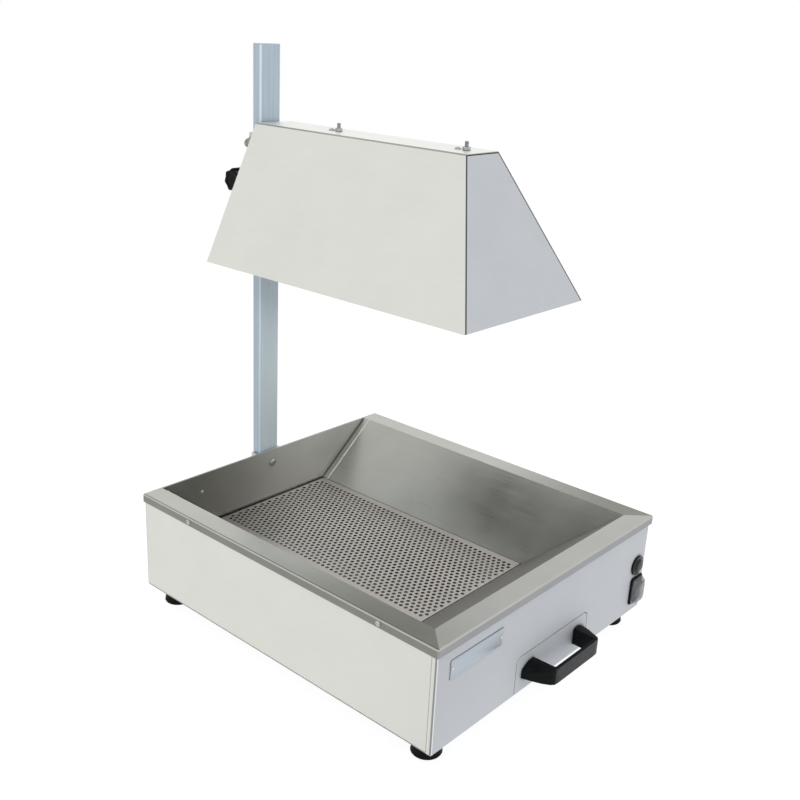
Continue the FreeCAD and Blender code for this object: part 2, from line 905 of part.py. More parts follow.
# Switch
def make_switch_housing():
    bezel = prism("xz", panel_y - bezel_depth, bezel_depth,
                  rectangle(switch_x, switch_middle, bezel_width, bezel_height, bezel_corner))
    body = prism("xz", panel_y, sheet + switch_body_depth,
                 rectangle(switch_x, switch_middle, switch_body_width, switch_body_height, 0))
    pocket = prism("xz", panel_y - bezel_depth - overrun, bezel_depth + overrun + switch_pocket_depth,
                   rectangle(switch_x, switch_middle, rocker_width + slide_clearance + slide_clearance,
                             switch_pocket_height, 0))
    reach = rocker_width / 2 + pivot_length + slide_clearance
    bearings = rod(Vector(switch_x - reach, pivot_y, switch_middle), x_axis, pivot_radius + fit_clearance,
                   reach + reach)
    return joined(bezel, body).cut([pocket, bearings])


def make_rocker():
    """A dished rocker on two short pivots, resting with its lower end pressed in."""
    half = rocker_height / 2
    front = pivot_y - pivot_behind - bezel_depth - rocker_proud
    outline = [(front, switch_middle + half), (front + rocker_dish, switch_middle),
               (front, switch_middle - half), (pivot_y + pivot_radius, switch_middle - half),
               (pivot_y + rocker_back, switch_middle - rocker_back),
               (pivot_y + rocker_back, switch_middle + rocker_back),
               (pivot_y + pivot_radius, switch_middle + half)]
    body = prism("yz", switch_x - rocker_width / 2, rocker_width, [(y, z, 0) for y, z in outline])
    reach = rocker_width / 2 + pivot_length
    pivots = rod(Vector(switch_x - reach, pivot_y, switch_middle), x_axis, pivot_radius, reach + reach)
    rocker = joined(body, pivots)
    rocker.rotate(Vector(switch_x, pivot_y, switch_middle), x_axis, rocker_tilt)
    return rocker


def cut_corners(half_width, half_height, cut, y):
    """An upright rectangle about the switch's middle with its four corners cut off."""
    shares = [(half_width - cut, -half_height), (half_width, cut - half_height),
              (half_width, half_height - cut), (half_width - cut, half_height)]
    left = [(-x, z) for x, z in reversed(shares)]
    return [Vector(switch_x + x, y, switch_middle + z) for x, z in shares + left]


def boot_block(inset, depth):
    """The splash cover's bulging block, drawn in by an inset."""
    base = panel_y - bezel_depth
    shoulder = base - depth + boot_corner - inset
    half_width = (bezel_width - boot_margin) / 2 - inset
    half_height = (bezel_height - boot_margin) / 2 - inset
    low = cut_corners(half_width, half_height, boot_corner - inset, base)
    middle = cut_corners(half_width - boot_draft, half_height - boot_draft, boot_corner - inset, shoulder)
    narrow = boot_draft + boot_corner - inset
    high = cut_corners(half_width - narrow, half_height - narrow, boot_corner - inset, base - depth)
    return joined(tapered_block(low, middle), tapered_block(middle, high))


def make_switch_boot():
    return boot_block(0, boot_proud).cut(boot_block(boot_wall, boot_proud - boot_wall))


# Thermostat
def make_thermostat_body():
    body = prism("xz", panel_y + sheet, thermostat_depth,
                 rectangle(thermostat_x, thermostat_middle, thermostat_width, thermostat_height, 0))
    bushing = hex_rod(Vector(thermostat_x, panel_y - bushing_proud, thermostat_middle), y_axis,
                      bushing_radius, bushing_proud + sheet + sheet)
    bore = rod(Vector(thermostat_x, panel_y - bushing_proud - overrun, thermostat_middle), y_axis,
               spindle_radius + fit_clearance, overrun + bushing_proud + spindle_behind + slide_clearance)
    return joined(body, bushing).cut(bore)


def make_thermostat_nut():
    return nut(Vector(thermostat_x, panel_y, thermostat_middle), -y_axis, thermostat_nut_across,
               thermostat_nut_height, bushing_radius + fit_clearance)


def make_thermostat_spindle():
    return rod(Vector(thermostat_x, panel_y - spindle_reach, thermostat_middle), y_axis, spindle_radius,
               spindle_reach + spindle_behind)


def make_thermostat_knob():
    bore = spindle_radius + fit_clearance
    recess = knob_cap_radius + fit_clearance
    recess_floor = knob_depth - knob_cap_depth
    hub_start = bushing_proud + slide_clearance - knob_panel_gap
    bore_end = spindle_reach - knob_panel_gap + slide_clearance
    profile = [(bore, hub_start, 0), (knob_radius - knob_wall, hub_start, 0),
               (knob_radius - knob_wall, 0, 0), (knob_radius, 0, 0),
               (knob_front_radius, knob_depth, 0), (recess, knob_depth, 0), (recess, recess_floor, 0),
               (0, recess_floor, 0), (0, bore_end, 0), (bore, bore_end, 0)]
    return turned(Vector(thermostat_x, panel_y - knob_panel_gap, thermostat_middle), -y_axis, profile)


def make_knob_cap():
    base = panel_y - knob_panel_gap - knob_depth + knob_cap_depth
    height = knob_cap_depth + knob_cap_proud
    profile = [(0, 0, 0), (knob_cap_radius, 0, 0), (knob_cap_radius, knob_cap_depth, 0),
               (knob_cap_radius - knob_edge, height, 0), (0, height, 0)]
    return turned(Vector(thermostat_x, base, thermostat_middle), -y_axis, profile)


# Heating element, its clips, the terminal block and the cable gland
def make_base_heater():
    """A U-shaped tube that passes behind the drawer, with a pin at each front end."""
    front = front_y + element_front
    rear = rear_y - element_rear_inset
    straight = element_x - element_bend
    leg = hex_rod(Vector(element_x, front, element_z), y_axis, element_radius, rear - element_bend - front)
    outline = [(element_x + u, element_z + v, radius) for u, v, radius in hexagon(element_radius)]
    section = Part.Face(rounded_wire("xz", rear - element_bend, outline))
    corner = section.revolve(Vector(straight, rear - element_bend, element_z), z_axis, quarter_turn)
    pin = hex_rod(Vector(element_x, front - terminal_length, element_z), y_axis, terminal_radius,
                  terminal_length + terminal_radius)
    right = joined(leg, corner, pin)
    outline = [(rear + u, element_z + v, radius) for u, v, radius in hexagon(element_radius)]
    cross = prism("yz", -straight, straight + straight, outline)
    return joined(cross, right, mirrored(right))


def make_heater_clips():
    """Straps that hold the two legs of the element up against the basin floor."""
    half = element_radius + fit_clearance + clip_sheet
    low = element_z - element_half - fit_clearance - clip_sheet
    high = basin_under - clip_sheet
    clips = []
    start = front_y + element_front
    span = rear_y - element_rear_inset - element_bend - start
    for i in range(clip_count):
        y = start + span * (i + 1) / (clip_count + 1) - clip_width / 2
        left = element_x - half
        right = element_x + half
        clips.append(folded("xz", y, clip_width,
                            [(left - clip_foot, high), (left, high), (left, low),
                             (right, low), (right, high), (right + clip_foot, high)],
                            clip_sheet, 0))
    return both_sides(group(clips))


def make_terminal_block():
    front = block_y - block_depth / 2
    rear = block_y + block_depth / 2
    left = block_x - block_width / 2
    base = block(left, left + block_width, front, rear, base_top, base_top + block_base)
    bore_z = base_top + (block_height + block_base) / 2
    poles = []
    bores = []
    for i in range(block_poles):
        x = block_x + (i - (block_poles - 1) / 2) * (block_pole_width + sheet)
        half = block_pole_width / 2
        poles.append(block(x - half, x + half, front + hem, rear - hem, base_top, base_top + block_height))
        bores.append(hex_rod(Vector(x, front - overrun, bore_z), y_axis, screw_radius,
                             block_depth + overrun + overrun))
    return joined(base, *poles).cut(bores)


def make_cable_gland():
    base = Vector(gland_x, rear_y, gland_height)
    hexed = hex_rod(base, y_axis, gland_across / hex_across_share, gland_hex_height)
    dome = turned(base + y_axis * gland_hex_height, y_axis,
                  [(0, 0, 0), (gland_across / 2 - sheet, 0, 0), (gland_dome_radius, gland_dome_height, 0),
                   (0, gland_dome_height, 0)])
    tail = hex_rod(base - y_axis * (gland_tail + sheet), y_axis, gland_thread_radius,
                   gland_tail + sheet + sheet)
    length = gland_tail + gland_hex_height + gland_dome_height + overrun + overrun
    bore = hex_rod(base - y_axis * (gland_tail + overrun), y_axis, gland_bore, length)
    return joined(hexed, dome, tail).cut(bore)


def make_gland_nut():
    return nut(Vector(gland_x, rear_panel_y, gland_height), -y_axis, gland_across, gland_nut_height,
               gland_thread_radius + fit_clearance)


# Post
def post_outline(grow):
    middle = post_middle_y
    return rectangle(0, middle, post_width + grow + grow, post_depth + grow + grow, post_corner + grow)


def post_inside(gap):
    inset = post_wall + gap
    return rectangle(0, post_middle_y, post_width - inset - inset, post_depth - inset - inset, 0)


def make_post():
    length = post_height - cap_thickness
    tube = prism("xy", post_base, length, post_outline(0)).cut(
        prism("xy", post_base - overrun, length + overrun + overrun, post_inside(0)))
    holes = [hex_rod(Vector(0, post_y - overrun, z), y_axis, bolt_radius + hole_clearance,
                     post_depth + overrun + overrun) for z in (upper_bolt_height, lower_bolt_height)]
    return tube.cut(holes)


def make_post_cap():
    seat = post_base + post_height - cap_thickness
    plate = prism("xy", seat, cap_thickness, post_outline(0))
    plug = prism("xy", seat - cap_plug, cap_plug, post_inside(seat_gap))
    return joined(plate, plug)


def make_post_bracket():
    half = post_width / 2 + seat_gap + post_gap
    end = post_y + bracket_flange
    channel = folded("xy", post_base, bracket_height,
                     [(-half, end), (-half, rear_y), (half, rear_y), (half, end)], post_gap, post_corner)
    holes = [hex_rod(Vector(0, rear_y - overrun, z), y_axis, bolt_radius + hole_clearance, flange)
             for z in (upper_bolt_height, lower_bolt_height)]
    return channel.cut(holes)


def make_post_bolts():
    end = post_y + post_depth + washer_height + cap_nut_hex - fit_clearance
    bolts = []
    for seat, z in ((rear_wall_y, upper_bolt_height), (rear_panel_y, lower_bolt_height)):
        base = Vector(0, seat, z)
        bolts.append(joined(hex_rod(base, -y_axis, bolt_head_across / hex_across_share, bolt_head_height),
                            hex_rod(base, y_axis, bolt_radius, end - seat)))
    return group(bolts)


def make_post_nuts():
    """Cap nuts on the post's rear face, each on its own collar."""
    nuts = []
    dome = cap_nut_height - cap_nut_hex
    for z in (upper_bolt_height, lower_bolt_height):
        base = Vector(0, post_y + post_depth, z)
        washer = hex_rod(base, y_axis, washer_radius, washer_height)
        hexed = hex_rod(base + y_axis * washer_height, y_axis, cap_nut_across / hex_across_share, cap_nut_hex)
        crown = faceted_cone(base + y_axis * (washer_height + cap_nut_hex), y_axis, cap_nut_dome,
                             cap_nut_dome - sheet, dome)
        bore = hex_rod(base, y_axis, bolt_radius + fit_clearance, washer_height + cap_nut_hex)
        nuts.append(joined(washer, hexed, crown).cut(bore))
    return group(nuts)


# Hood
def hood_block(z0, z1, side, front, rear):
    """The hood's tapered form between two heights, each face drawn in by its own inset."""
    side_run = (hood_bottom_width - hood_top_width) / 2
    front_run = hood_bottom_depth - hood_top_depth
    side_inset = side * math.hypot(side_run, hood_height) / hood_height
    front_inset = front * math.hypot(front_run, hood_height) / hood_height
    outlines = []
    for z in (z0, z1):
        share = (z - hood_z) / hood_height
        half = hood_bottom_width / 2 - side_run * share - side_inset
        front_line = rear_y - hood_bottom_depth + front_run * share + front_inset
        outlines.append(four_corners(half, front_line, rear_y - rear, z))
    return tapered_block(outlines[0], outlines[1])


def fold_top(solid, radius):
    """Round the two long top edges of a hood block."""
    top = solid.BoundBox.ZMax
    edges = [edge for edge in solid.Edges
             if edge.BoundBox.ZMin > top - coincident and edge.BoundBox.YLength > hood_height]
    return solid.makeFillet(radius, edges)


def top_screw_places():
    stations = (lamp_y - stud_spacing / 2, lamp_y + stud_spacing / 2)
    return [(y, y + hanger_screw_offset) for y in stations]


def make_hood_shell():
    """One sheet folded over both sides and the top, with a return along each lower edge."""
    outer = fold_top(hood_block(hood_z, hood_top, 0, 0, 0), hood_fold + sheet)
    inner = fold_top(hood_block(hood_z - overrun, hood_top - sheet, sheet, -overrun, -overrun), hood_fold)
    ends = hood_return + sheet
    strips = hood_block(hood_z, hood_z + sheet, sheet / 2, ends, ends).cut(
        hood_block(hood_z - overrun, hood_z + overrun, hood_return, -overrun, -overrun))
    holes = []
    for stud_y, screw_y in top_screw_places():
        holes.append(hex_rod(Vector(0, stud_y, hood_top - overrun), z_axis, stud_radius + fit_clearance,
                             flange))
        holes.append(hex_rod(Vector(0, screw_y, hood_top - overrun), z_axis, screw_radius + fit_clearance,
                             flange))
    return joined(outer.cut(inner), strips).cut(holes)


def make_hood_front_end():
    """A shallow pan set between the hood's sides."""
    side = sheet + hood_seam
    top = hood_top - sheet - hood_seam
    pan = hood_block(hood_z, top, side, 0, 0)
    front_face = min(pan.Faces, key=lambda face: face.CenterOfMass.y)
    edges = [edge for edge in front_face.Edges if edge.BoundBox.ZMax > hood_z + overrun]
    pan = pan.makeFillet(hood_fold, edges)
    hollow = hood_block(hood_z + sheet, top - sheet, side + sheet, sheet, -overrun)
    behind = hood_block(hood_z - overrun, hood_top, -overrun, hood_return, -overrun)
    return pan.cut([hollow, behind])


def collar_screw_places():
    heights = (collar_z + collar_screw_low, collar_z + collar_screw_high)
    return [(x, z) for x in (-collar_screw_x, collar_screw_x) for z in heights]


def make_hood_rear_end():
    """The stiffer rear pan that carries the hood on its collar."""
    side = sheet + hood_seam
    top = hood_top - sheet - hood_seam
    pan = hood_block(hood_z, top, side, 0, 0)
    hollow = hood_block(hood_z + sheet, top - sheet, side + sheet, -overrun, rear_plate)
    ahead = block(-hood_bottom_width, hood_bottom_width, rear_y - casing_depth, rear_y - hood_return,
                  hood_z - overrun, hood_top)
    holes = [hex_rod(Vector(x, rear_y - overrun, z), y_axis, foot_screw_radius + fit_clearance, flange)
             for x, z in collar_screw_places()]
    return pan.cut([hollow, ahead]).cut(holes)


def make_slide_collar():
    """A rectangular sleeve round the post, with ears that bolt to the hood's rear end."""
    grow = slide_clearance + collar_wall
    sleeve = prism("xy", collar_z, collar_height, post_outline(grow))
    ears = prism("xz", rear_y, collar_wall,
                 rectangle(0, collar_z + collar_height / 2, ear_width, collar_height, 0))
    inside_outline = rectangle(0, post_middle_y, post_width + slide_clearance + slide_clearance,
                               post_depth + slide_clearance + slide_clearance, 0)
    inside = prism("xy", collar_z - overrun, collar_height + overrun + overrun, inside_outline)
    holes = [hex_rod(Vector(x, rear_y - overrun, z), y_axis, foot_screw_radius + fit_clearance, flange)
             for x, z in collar_screw_places()]
    wall_x = -collar_half
    holes.append(hex_rod(Vector(wall_x - sheet, knob_axis_y, knob_axis_z), x_axis,
                         around(clamp_stud_radius), collar_wall + hem))
    holes.append(hex_rod(Vector(wall_x - sheet, post_middle_y, dome_axis_z), x_axis,
                         dome_stud_radius + fit_clearance, collar_wall + hem))
    return joined(sleeve, ears).cut(inside).cut(holes)


def make_collar_screws():
    length = rear_plate + collar_wall + nut_height + sheet
    return group([hex_screw(Vector(x, rear_y - rear_plate, z), -y_axis, foot_screw_radius,
                            foot_screw_head_radius, screw_head_height, length) for x, z in collar_screw_places()])


def make_collar_nuts():
    bore = foot_screw_radius + fit_clearance
    return group([nut(Vector(x, rear_y + collar_wall, z), y_axis, nut_across, nut_height, bore)
                  for x, z in collar_screw_places()])


def make_knob_boss():
    base = Vector(-collar_half, knob_axis_y, knob_axis_z)
    bore = clamp_stud_radius + fit_clearance
    return turned(base, -x_axis, [(bore, 0, 0), (boss_radius, 0, 0), (boss_radius - sheet, boss_height, 0),
                                  (bore, boss_height, 0)])


def make_collar_dome_screw():
    base = Vector(-collar_half, post_middle_y, dome_axis_z)
    hexed = hex_rod(base, -x_axis, dome_across / hex_across_share, dome_hex)
    dome = faceted_cone(base - x_axis * dome_hex, -x_axis, dome_radius, dome_radius - hem,
                        dome_height - dome_hex)
    shank = hex_rod(base, x_axis, dome_stud_radius, collar_wall - slide_clearance)
    return joined(hexed, dome, shank)


# Clamp knob
def make_clamp_knob():
    """A lobed hand knob on a short round hub."""
    middle = (clamp_radius + clamp_valley) / 2
    swing = (clamp_radius - clamp_valley) / 2
    steps = clamp_lobes * clamp_lobe_sides
    outline = []
    for i in range(steps):
        turn = math.tau * i / steps
        radius = middle + swing * math.cos(clamp_lobes * turn)
        outline.append((radius * math.cos(turn), radius * math.sin(turn), 0))
    lobed = prism("xy", 0, clamp_depth, outline)
    crown = [edge for edge in lobed.Edges if edge.BoundBox.ZMin > clamp_depth - sheet]
    lobed = lobed.makeChamfer(clamp_crown, crown)
    lobed.translate(z_axis * clamp_hub_depth)
    hub = faceted_cone(Vector(), z_axis, clamp_hub_radius, clamp_hub_radius, clamp_hub_depth + sheet)
    bore = rod(Vector(), z_axis, clamp_stud_radius + fit_clearance, clamp_socket)
    return placed(joined(lobed, hub).cut(bore), Vector(clamp_knob_x, knob_axis_y, knob_axis_z), -x_axis)


def make_clamp_stud():
    start = post_width / 2 + clamp_end_gap
    end = clamp_socket - clamp_knob_x - fit_clearance
    return rod(Vector(-end, knob_axis_y, knob_axis_z), x_axis, clamp_stud_radius, end - start)


# Lamp unit
def make_lamp_reflector():
    """A trapezoid channel of bright sheet, open downwards, with a lip along each edge."""
    high = reflector_top - reflector_sheet
    low = high - reflector_drop
    top_half = reflector_top_width / 2
    mouth_half = reflector_mouth_width / 2
    channel = folded("xz", lamp_y - reflector_length / 2, reflector_length,
                     [(-mouth_half - reflector_lip, low), (-mouth_half, low), (-top_half, high),
                      (top_half, high), (mouth_half, low), (mouth_half + reflector_lip, low)],
                     reflector_sheet, 0)
    holes = [hex_rod(Vector(0, stud_y, reflector_top - overrun), z_axis, stud_radius + fit_clearance, flange)
             for stud_y, screw_y in top_screw_places()]
    return channel.cut(holes)


def make_reflector_hangers():
    hangers = []
    for stud_y, screw_y in top_screw_places():
        end = stud_y + hanger_reach
        start = stud_y - hanger_tail
        strap = folded("yz", -hanger_width / 2, hanger_width,
                       [(start, reflector_top), (end, reflector_top), (end, hood_top - sheet),
                        (start, hood_top - sheet)],
                       hanger_sheet, 0)
        holes = [hex_rod(Vector(0, stud_y, reflector_top - overrun), z_axis, stud_radius + fit_clearance,
                         reflector_below_top + overrun),
                 hex_rod(Vector(0, screw_y, hood_top - flange), z_axis, screw_radius + fit_clearance, flange)]
        hangers.append(strap.cut(holes))
    return group(hangers)


def make_reflector_studs():
    start = reflector_top - reflector_sheet - nut_height - sheet
    length = hood_top + stud_proud - start
    return group([hex_rod(Vector(0, stud_y, start), z_axis, stud_radius, length)
                  for stud_y, screw_y in top_screw_places()])


def make_stud_nuts():
    bore = stud_radius + fit_clearance
    nuts = []
    for stud_y, screw_y in top_screw_places():
        nuts.append(nut(Vector(0, stud_y, hood_top), z_axis, nut_across, nut_height, bore))
        nuts.append(nut(Vector(0, stud_y, reflector_top - reflector_sheet), -z_axis, nut_across, nut_height,
                        bore))
    return group(nuts)


def make_hanger_screws():
    length = sheet + hanger_sheet + nut_height + sheet
    return group([hex_screw(Vector(0, screw_y, hood_top), z_axis, screw_radius, screw_head_radius,
                            screw_head_height, length) for stud_y, screw_y in top_screw_places()])


def make_hanger_nuts():
    seat = hood_top - sheet - hanger_sheet
    return group([nut(Vector(0, screw_y, seat), -z_axis, nut_across, nut_height, screw_radius + fit_clearance)
                  for stud_y, screw_y in top_screw_places()])


def holder_places():
    reach = reflector_length / 2 - holder_inset - holder_depth
    return [lamp_y - reach - holder_depth, lamp_y + reach]


def make_lamp_holders():
    high = reflector_top - reflector_sheet
    low = lamp_z - lamp_radius - sheet
    holders = []
    for y in holder_places():
        body = block(-holder_width / 2, holder_width / 2, y, y + holder_depth, low, high)
        bore = hex_rod(Vector(0, y - sheet, lamp_z), y_axis, lamp_neck_radius + fit_clearance,
                       holder_depth + hem)
        holders.append(body.cut(bore))
    return group(holders)


def make_heat_lamp():
    first, second = holder_places()
    length = second + holder_depth - first
    ends = hex_rod(Vector(0, first, lamp_z), y_axis, lamp_neck_radius, length)
    tube = rod(Vector(0, first + lamp_neck, lamp_z), y_axis, lamp_radius, length - lamp_neck - lamp_neck)
    return joined(ends, tube)


def make_lamp_guard():
    """Two long wires under the reflector's lips, joined by cross wires."""
    x = (reflector_mouth_width + reflector_lip) / 2
    z = reflector_top - reflector_sheet - reflector_drop - guard_gap - guard_wire
    start = lamp_y - reflector_length / 2
    rails = [hex_rod(Vector(side * x, start, z), y_axis, guard_wire, reflector_length) for side in (-1, 1)]
    crossings = []
    for i in range(guard_wires):
        y = start + reflector_length * (i + 1) / (guard_wires + 1)
        crossings.append(hex_rod(Vector(-x, y, z), x_axis, guard_cross_wire, x + x))
    return joined(rails[0], rails[1], *crossings)


# Every node by its name
save("basin", make_basin())
save("left_side_panel", make_left_side_panel())
save("right_side_panel", mirrored(make_left_side_panel()))
save("front_panel", make_front_panel())
save("rear_panel", make_rear_panel())
save("base_plate", make_base_plate())
save("rubber_feet", make_rubber_feet())
save("foot_screws", make_foot_screws())
save("foot_nuts", make_foot_nuts())
save("rim_rivets", make_rim_rivets())
save("panel_screws", make_panel_screws())
save("perforated_plate", make_perforated_plate())
save("drawer_runners", make_drawer_runners())
save("drip_tray", make_drip_tray())
save("tray_ends", make_tray_ends())
save("tray_floor", make_tray_floor())
save("drawer_front", make_drawer_front())
save("drawer_handle", make_drawer_handle())
save("handle_screws", make_handle_screws())
save("switch_housing", make_switch_housing())
save("rocker", make_rocker())
save("switch_boot", make_switch_boot())
save("thermostat_body", make_thermostat_body())
save("thermostat_nut", make_thermostat_nut())
save("thermostat_spindle", make_thermostat_spindle())
save("thermostat_knob", make_thermostat_knob())
save("knob_cap", make_knob_cap())
save("base_heater", make_base_heater())
save("heater_clips", make_heater_clips())
save("terminal_block", make_terminal_block())
save("cable_gland", make_cable_gland())
save("gland_nut", make_gland_nut())
save("post", make_post())
save("post_cap", make_post_cap())
save("post_bracket", make_post_bracket())
save("post_bolts", make_post_bolts())
save("post_nuts", make_post_nuts())
save("hood_shell", make_hood_shell())
save("hood_front_end", make_hood_front_end())
save("hood_rear_end", make_hood_rear_end())
save("slide_collar", make_slide_collar())
save("collar_screws", make_collar_screws())
save("collar_nuts", make_collar_nuts())
save("knob_boss", make_knob_boss())
save("collar_dome_screw", make_collar_dome_screw())
save("clamp_knob", make_clamp_knob())
save("clamp_stud", make_clamp_stud())
save("lamp_reflector", make_lamp_reflector())
save("reflector_hangers", make_reflector_hangers())
save("reflector_studs", make_reflector_studs())
save("stud_nuts", make_stud_nuts())
save("hanger_screws", make_hanger_screws())
save("hanger_nuts", make_hanger_nuts())
save("lamp_holders", make_lamp_holders())
save("heat_lamp", make_heat_lamp())
save("lamp_guard", make_lamp_guard())
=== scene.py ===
"""Looks of a counter-top chip warmer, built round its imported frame. Lengths are in metres."""

import math

import bmesh
import bpy
from mathutils import Matrix, Vector


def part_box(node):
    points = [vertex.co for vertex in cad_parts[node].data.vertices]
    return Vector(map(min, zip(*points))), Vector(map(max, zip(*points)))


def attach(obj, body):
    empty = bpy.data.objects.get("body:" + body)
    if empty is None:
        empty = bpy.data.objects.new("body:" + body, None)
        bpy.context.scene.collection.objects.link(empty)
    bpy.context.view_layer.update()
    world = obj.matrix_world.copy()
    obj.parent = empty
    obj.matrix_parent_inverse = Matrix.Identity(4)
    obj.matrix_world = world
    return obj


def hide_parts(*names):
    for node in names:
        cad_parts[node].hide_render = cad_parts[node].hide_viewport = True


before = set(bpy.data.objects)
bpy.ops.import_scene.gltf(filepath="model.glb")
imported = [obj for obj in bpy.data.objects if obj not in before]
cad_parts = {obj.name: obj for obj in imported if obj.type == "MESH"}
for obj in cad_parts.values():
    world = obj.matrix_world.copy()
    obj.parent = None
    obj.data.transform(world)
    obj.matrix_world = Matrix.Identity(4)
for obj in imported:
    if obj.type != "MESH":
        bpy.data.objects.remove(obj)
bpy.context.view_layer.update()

# Camera, solved from the corners of casing, hood and post
camera_place = Vector((-0.9428, -0.7979, 0.7561))
camera_azimuth = math.radians(-49.45)
camera_elevation = math.radians(20.15)
camera_roll = 0.051
camera_lens = 46.94

# Brushed sheet: size of its lines and wiping marks, and how far the painted seam shade reaches out of a seam
line_width = 0.0007
line_length = 0.09
smudge = 0.055
seam_shade_reach = 0.005

# Softened edges
joined_within = 0.000002
sharp_angle = math.radians(35)
sheet_edge = 0.0005
rocker_edge = 0.0006

# Perforated plate: round holes on a triangular pitch
hole_diameter = 0.005
hole_pitch = 0.008
hole_sides = 14
hole_reach_x = 0.0965
plate_margin = 0.0055
plate_corner = 0.002
plate_sheet = 0.0012

# Name plate on the front panel, left bare. Its pressing goes by border widths in from the edge and shares of
# the sheet.
name_plate_x = (-0.1966, -0.1036)
name_plate_z = (0.107, 0.131)
name_plate_sheet = 0.0008
name_plate_corner = 0.0015
name_plate_least_corner = 0.0002
name_plate_border = 0.0012
name_plate_pressing = ((0, 0), (0, 1), (1, 1), (1.3, 0.7), (1.9, 0.7), (2.2, 1))
name_plate_rivets = ((-0.1936, 0.1206), (-0.1066, 0.1192))
name_plate_rivet_head = (0.0019, 0.0011)

# Painted highlights and shade on the folded sheets: a bend is a face whose direction has little of the sheet's
# area
bend_area_share = 0.004
panel_bend_depth = 0.00255
rim_width = 0.0284
rim_bend_depth = 0.003
rim_crease_width = 0.004
rim_flatness = 0.0004

# Basin welds and the small rivet in its rear wall
basin_sheet = 0.0013
weld_top_inset = 0.0285
weld_top_drop = 0.0008
weld_plate_gap = 0.001
weld_radius = 0.0012
weld_ripple = 0.0021
weld_swell = 0.14
weld_steps = 60
basin_rivet = (-0.137, 0.137)
basin_rivet_head = (0.0022, 0.001)

# Post and feet
post_corner = 0.003
post_wall = 0.0014
foot_profile = [(0, 0.009), (0.007, 0.009), (0.0085, 0), (0.0172, 0), (0.018, 0.0012), (0.0178, 0.0026),
                (0.0152, 0.016), (0.0148, 0.022), (0, 0.022)]

# Fasteners: heads as (radius, height), nuts as (width across flats, radius of the bore)
screw_head = (0.0038, 0.0024)
large_head = (0.0050, 0.0024)
rivet_head = (0.0036, 0.0014)
bolt_head = (0.0055, 0.0030)
small_nut = (0.008, 0.00205)
large_nut = (0.008, 0.00255)
post_cap_nut = {"across": 0.010, "hex_height": 0.005, "dome_radius": 0.0044, "height": 0.0097,
                "washer": (0.006, 0.0012)}
collar_cap_nut = {"across": 0.014, "hex_height": 0.006, "dome_radius": 0.0066}
cap_nut_seat = -0.0228
cap_nut_reach = 0.0015
thread_pitch = 0.0008
thread_depth = 0.00035
thread_steps = 6
stud_thread_length = 0.013

# Thermostat knob: a dial and its boss, the cap's profile as (share of its radius, height), and the index mark
# by its distance from the knob's middle and its height over the panel
knob_flutes = 24
knob_flute_depth = 0.0003
knob_fluted_from = 0.0133
knob_profile = [(0, 0.0002), (0.013, 0), (0.0135, 0.0005), (0.0135, 0.0012), (0.013, 0.0018), (0.0106, 0.0022),
                (0.0094, 0.003), (0.0088, 0.0034), (0.0084, 0.0041), (0.0076, 0.0044), (0, 0.0044)]
cap_radius = 0.0074
cap_seat = 0.004
cap_profile = [(0, 0), (1, 0), (1, 0.0006), (0.93, 0.0009), (0.8, 0.0013), (0.6, 0.0017), (0.35, 0.002),
               (0, 0.0021)]
index_half_width = 0.0048
index_reach = (0.009, 0.0121)
index_heights = (0.0012, 0.0021)
index_corner = 0.0012
spindle_end = 0.0030
spindle_edge = 0.0004

# Clamp knob
clamp_lobes = 7
clamp_lobe_depth = 0.0022
clamp_radius = 0.0155
clamp_face_radius = 0.0092
clamp_profile = [(0, 0.0002), (0.0078, 0), (0.0085, 0.0006), (0.0085, 0.0056), (0.009, 0.006), (0.0136, 0.006),
                 (0.0149, 0.0066), (0.0155, 0.0082), (0.0155, 0.0248), (0.0152, 0.0264), (0.0143, 0.0276),
                 (0.0128, 0.028), (0.0092, 0.028), (0.0086, 0.0277), (0.0082, 0.0272), (0, 0.0272)]

# Switch: half sizes of its body and of the pocket round the rocker, the bezel's edge as (inset, depth under its
# face), the pocket's wider mouth, and the splash cover
switch_body_half = (0.01075, 0.015)
switch_corner = 0.0008
switch_pocket_half_z = 0.0137
switch_pocket_depth = 0.0164
pocket_mouth = (0.0008, 0.0007)
pocket_mouth_corner = 0.0012
pocket_mouth_depth = 0.0008
rocker_gap = 0.0017
bezel_corner = 0.004
bezel_edge = ((0, 0.0009), (0.0003, 0.0003), (0.0009, 0))
boot_round = 0.0055
boot_wall = 0.001
boot_depth = 0.0078
boot_inset = 0.0009
boot_least_corner = 0.001
boot_corner_share = 0.35

# Drawer handle: half of it as six-sided sections from the foot to the bar's middle. A point says how far it
# lies in from the end, back from the front, and in from the base (the first three) or the top (the others).
handle_shift = 0.003
handle_edge = 0.0005
handle_sections = [
    [(0, 0.034, 0.004), (0.007, 0.034, 0), (0.024, 0.034, 0),
     (0.024, 0.034, 0), (0.012, 0.034, 0), (0, 0.034, 0.007)],
    [(0.003, 0.023, 0.004), (0.009, 0.023, 0), (0.0243, 0.023, 0),
     (0.0243, 0.023, 0), (0.014, 0.023, 0), (0.003, 0.023, 0.007)],
    [(0.0095, 0.013, 0.0025), (0.013, 0.013, 0), (0.0246, 0.013, 0),
     (0.0246, 0.013, 0), (0.0175, 0.013, 0), (0.0095, 0.013, 0.005)],
    [(0.0165, 0.004, 0.0012), (0.018, 0.0046, 0), (0.0248, 0.0095, 0),
     (0.0248, 0.0075, 0), (0.019, 0.0046, 0), (0.0165, 0.004, 0.002)],
    [(0.0215, 0.0005, 0.0006), (0.023, 0.0012, 0), (0.0252, 0.0085, 0),
     (0.0252, 0.0046, 0), (0.023, 0.0012, 0), (0.0215, 0.0005, 0.0006)],
    [(0.029, 0, 0.0006), (0.029, 0.0006, 0), (0.028, 0.0085, 0),
     (0.028, 0.0042, 0), (0.029, 0.0006, 0), (0.029, 0, 0.0006)]]

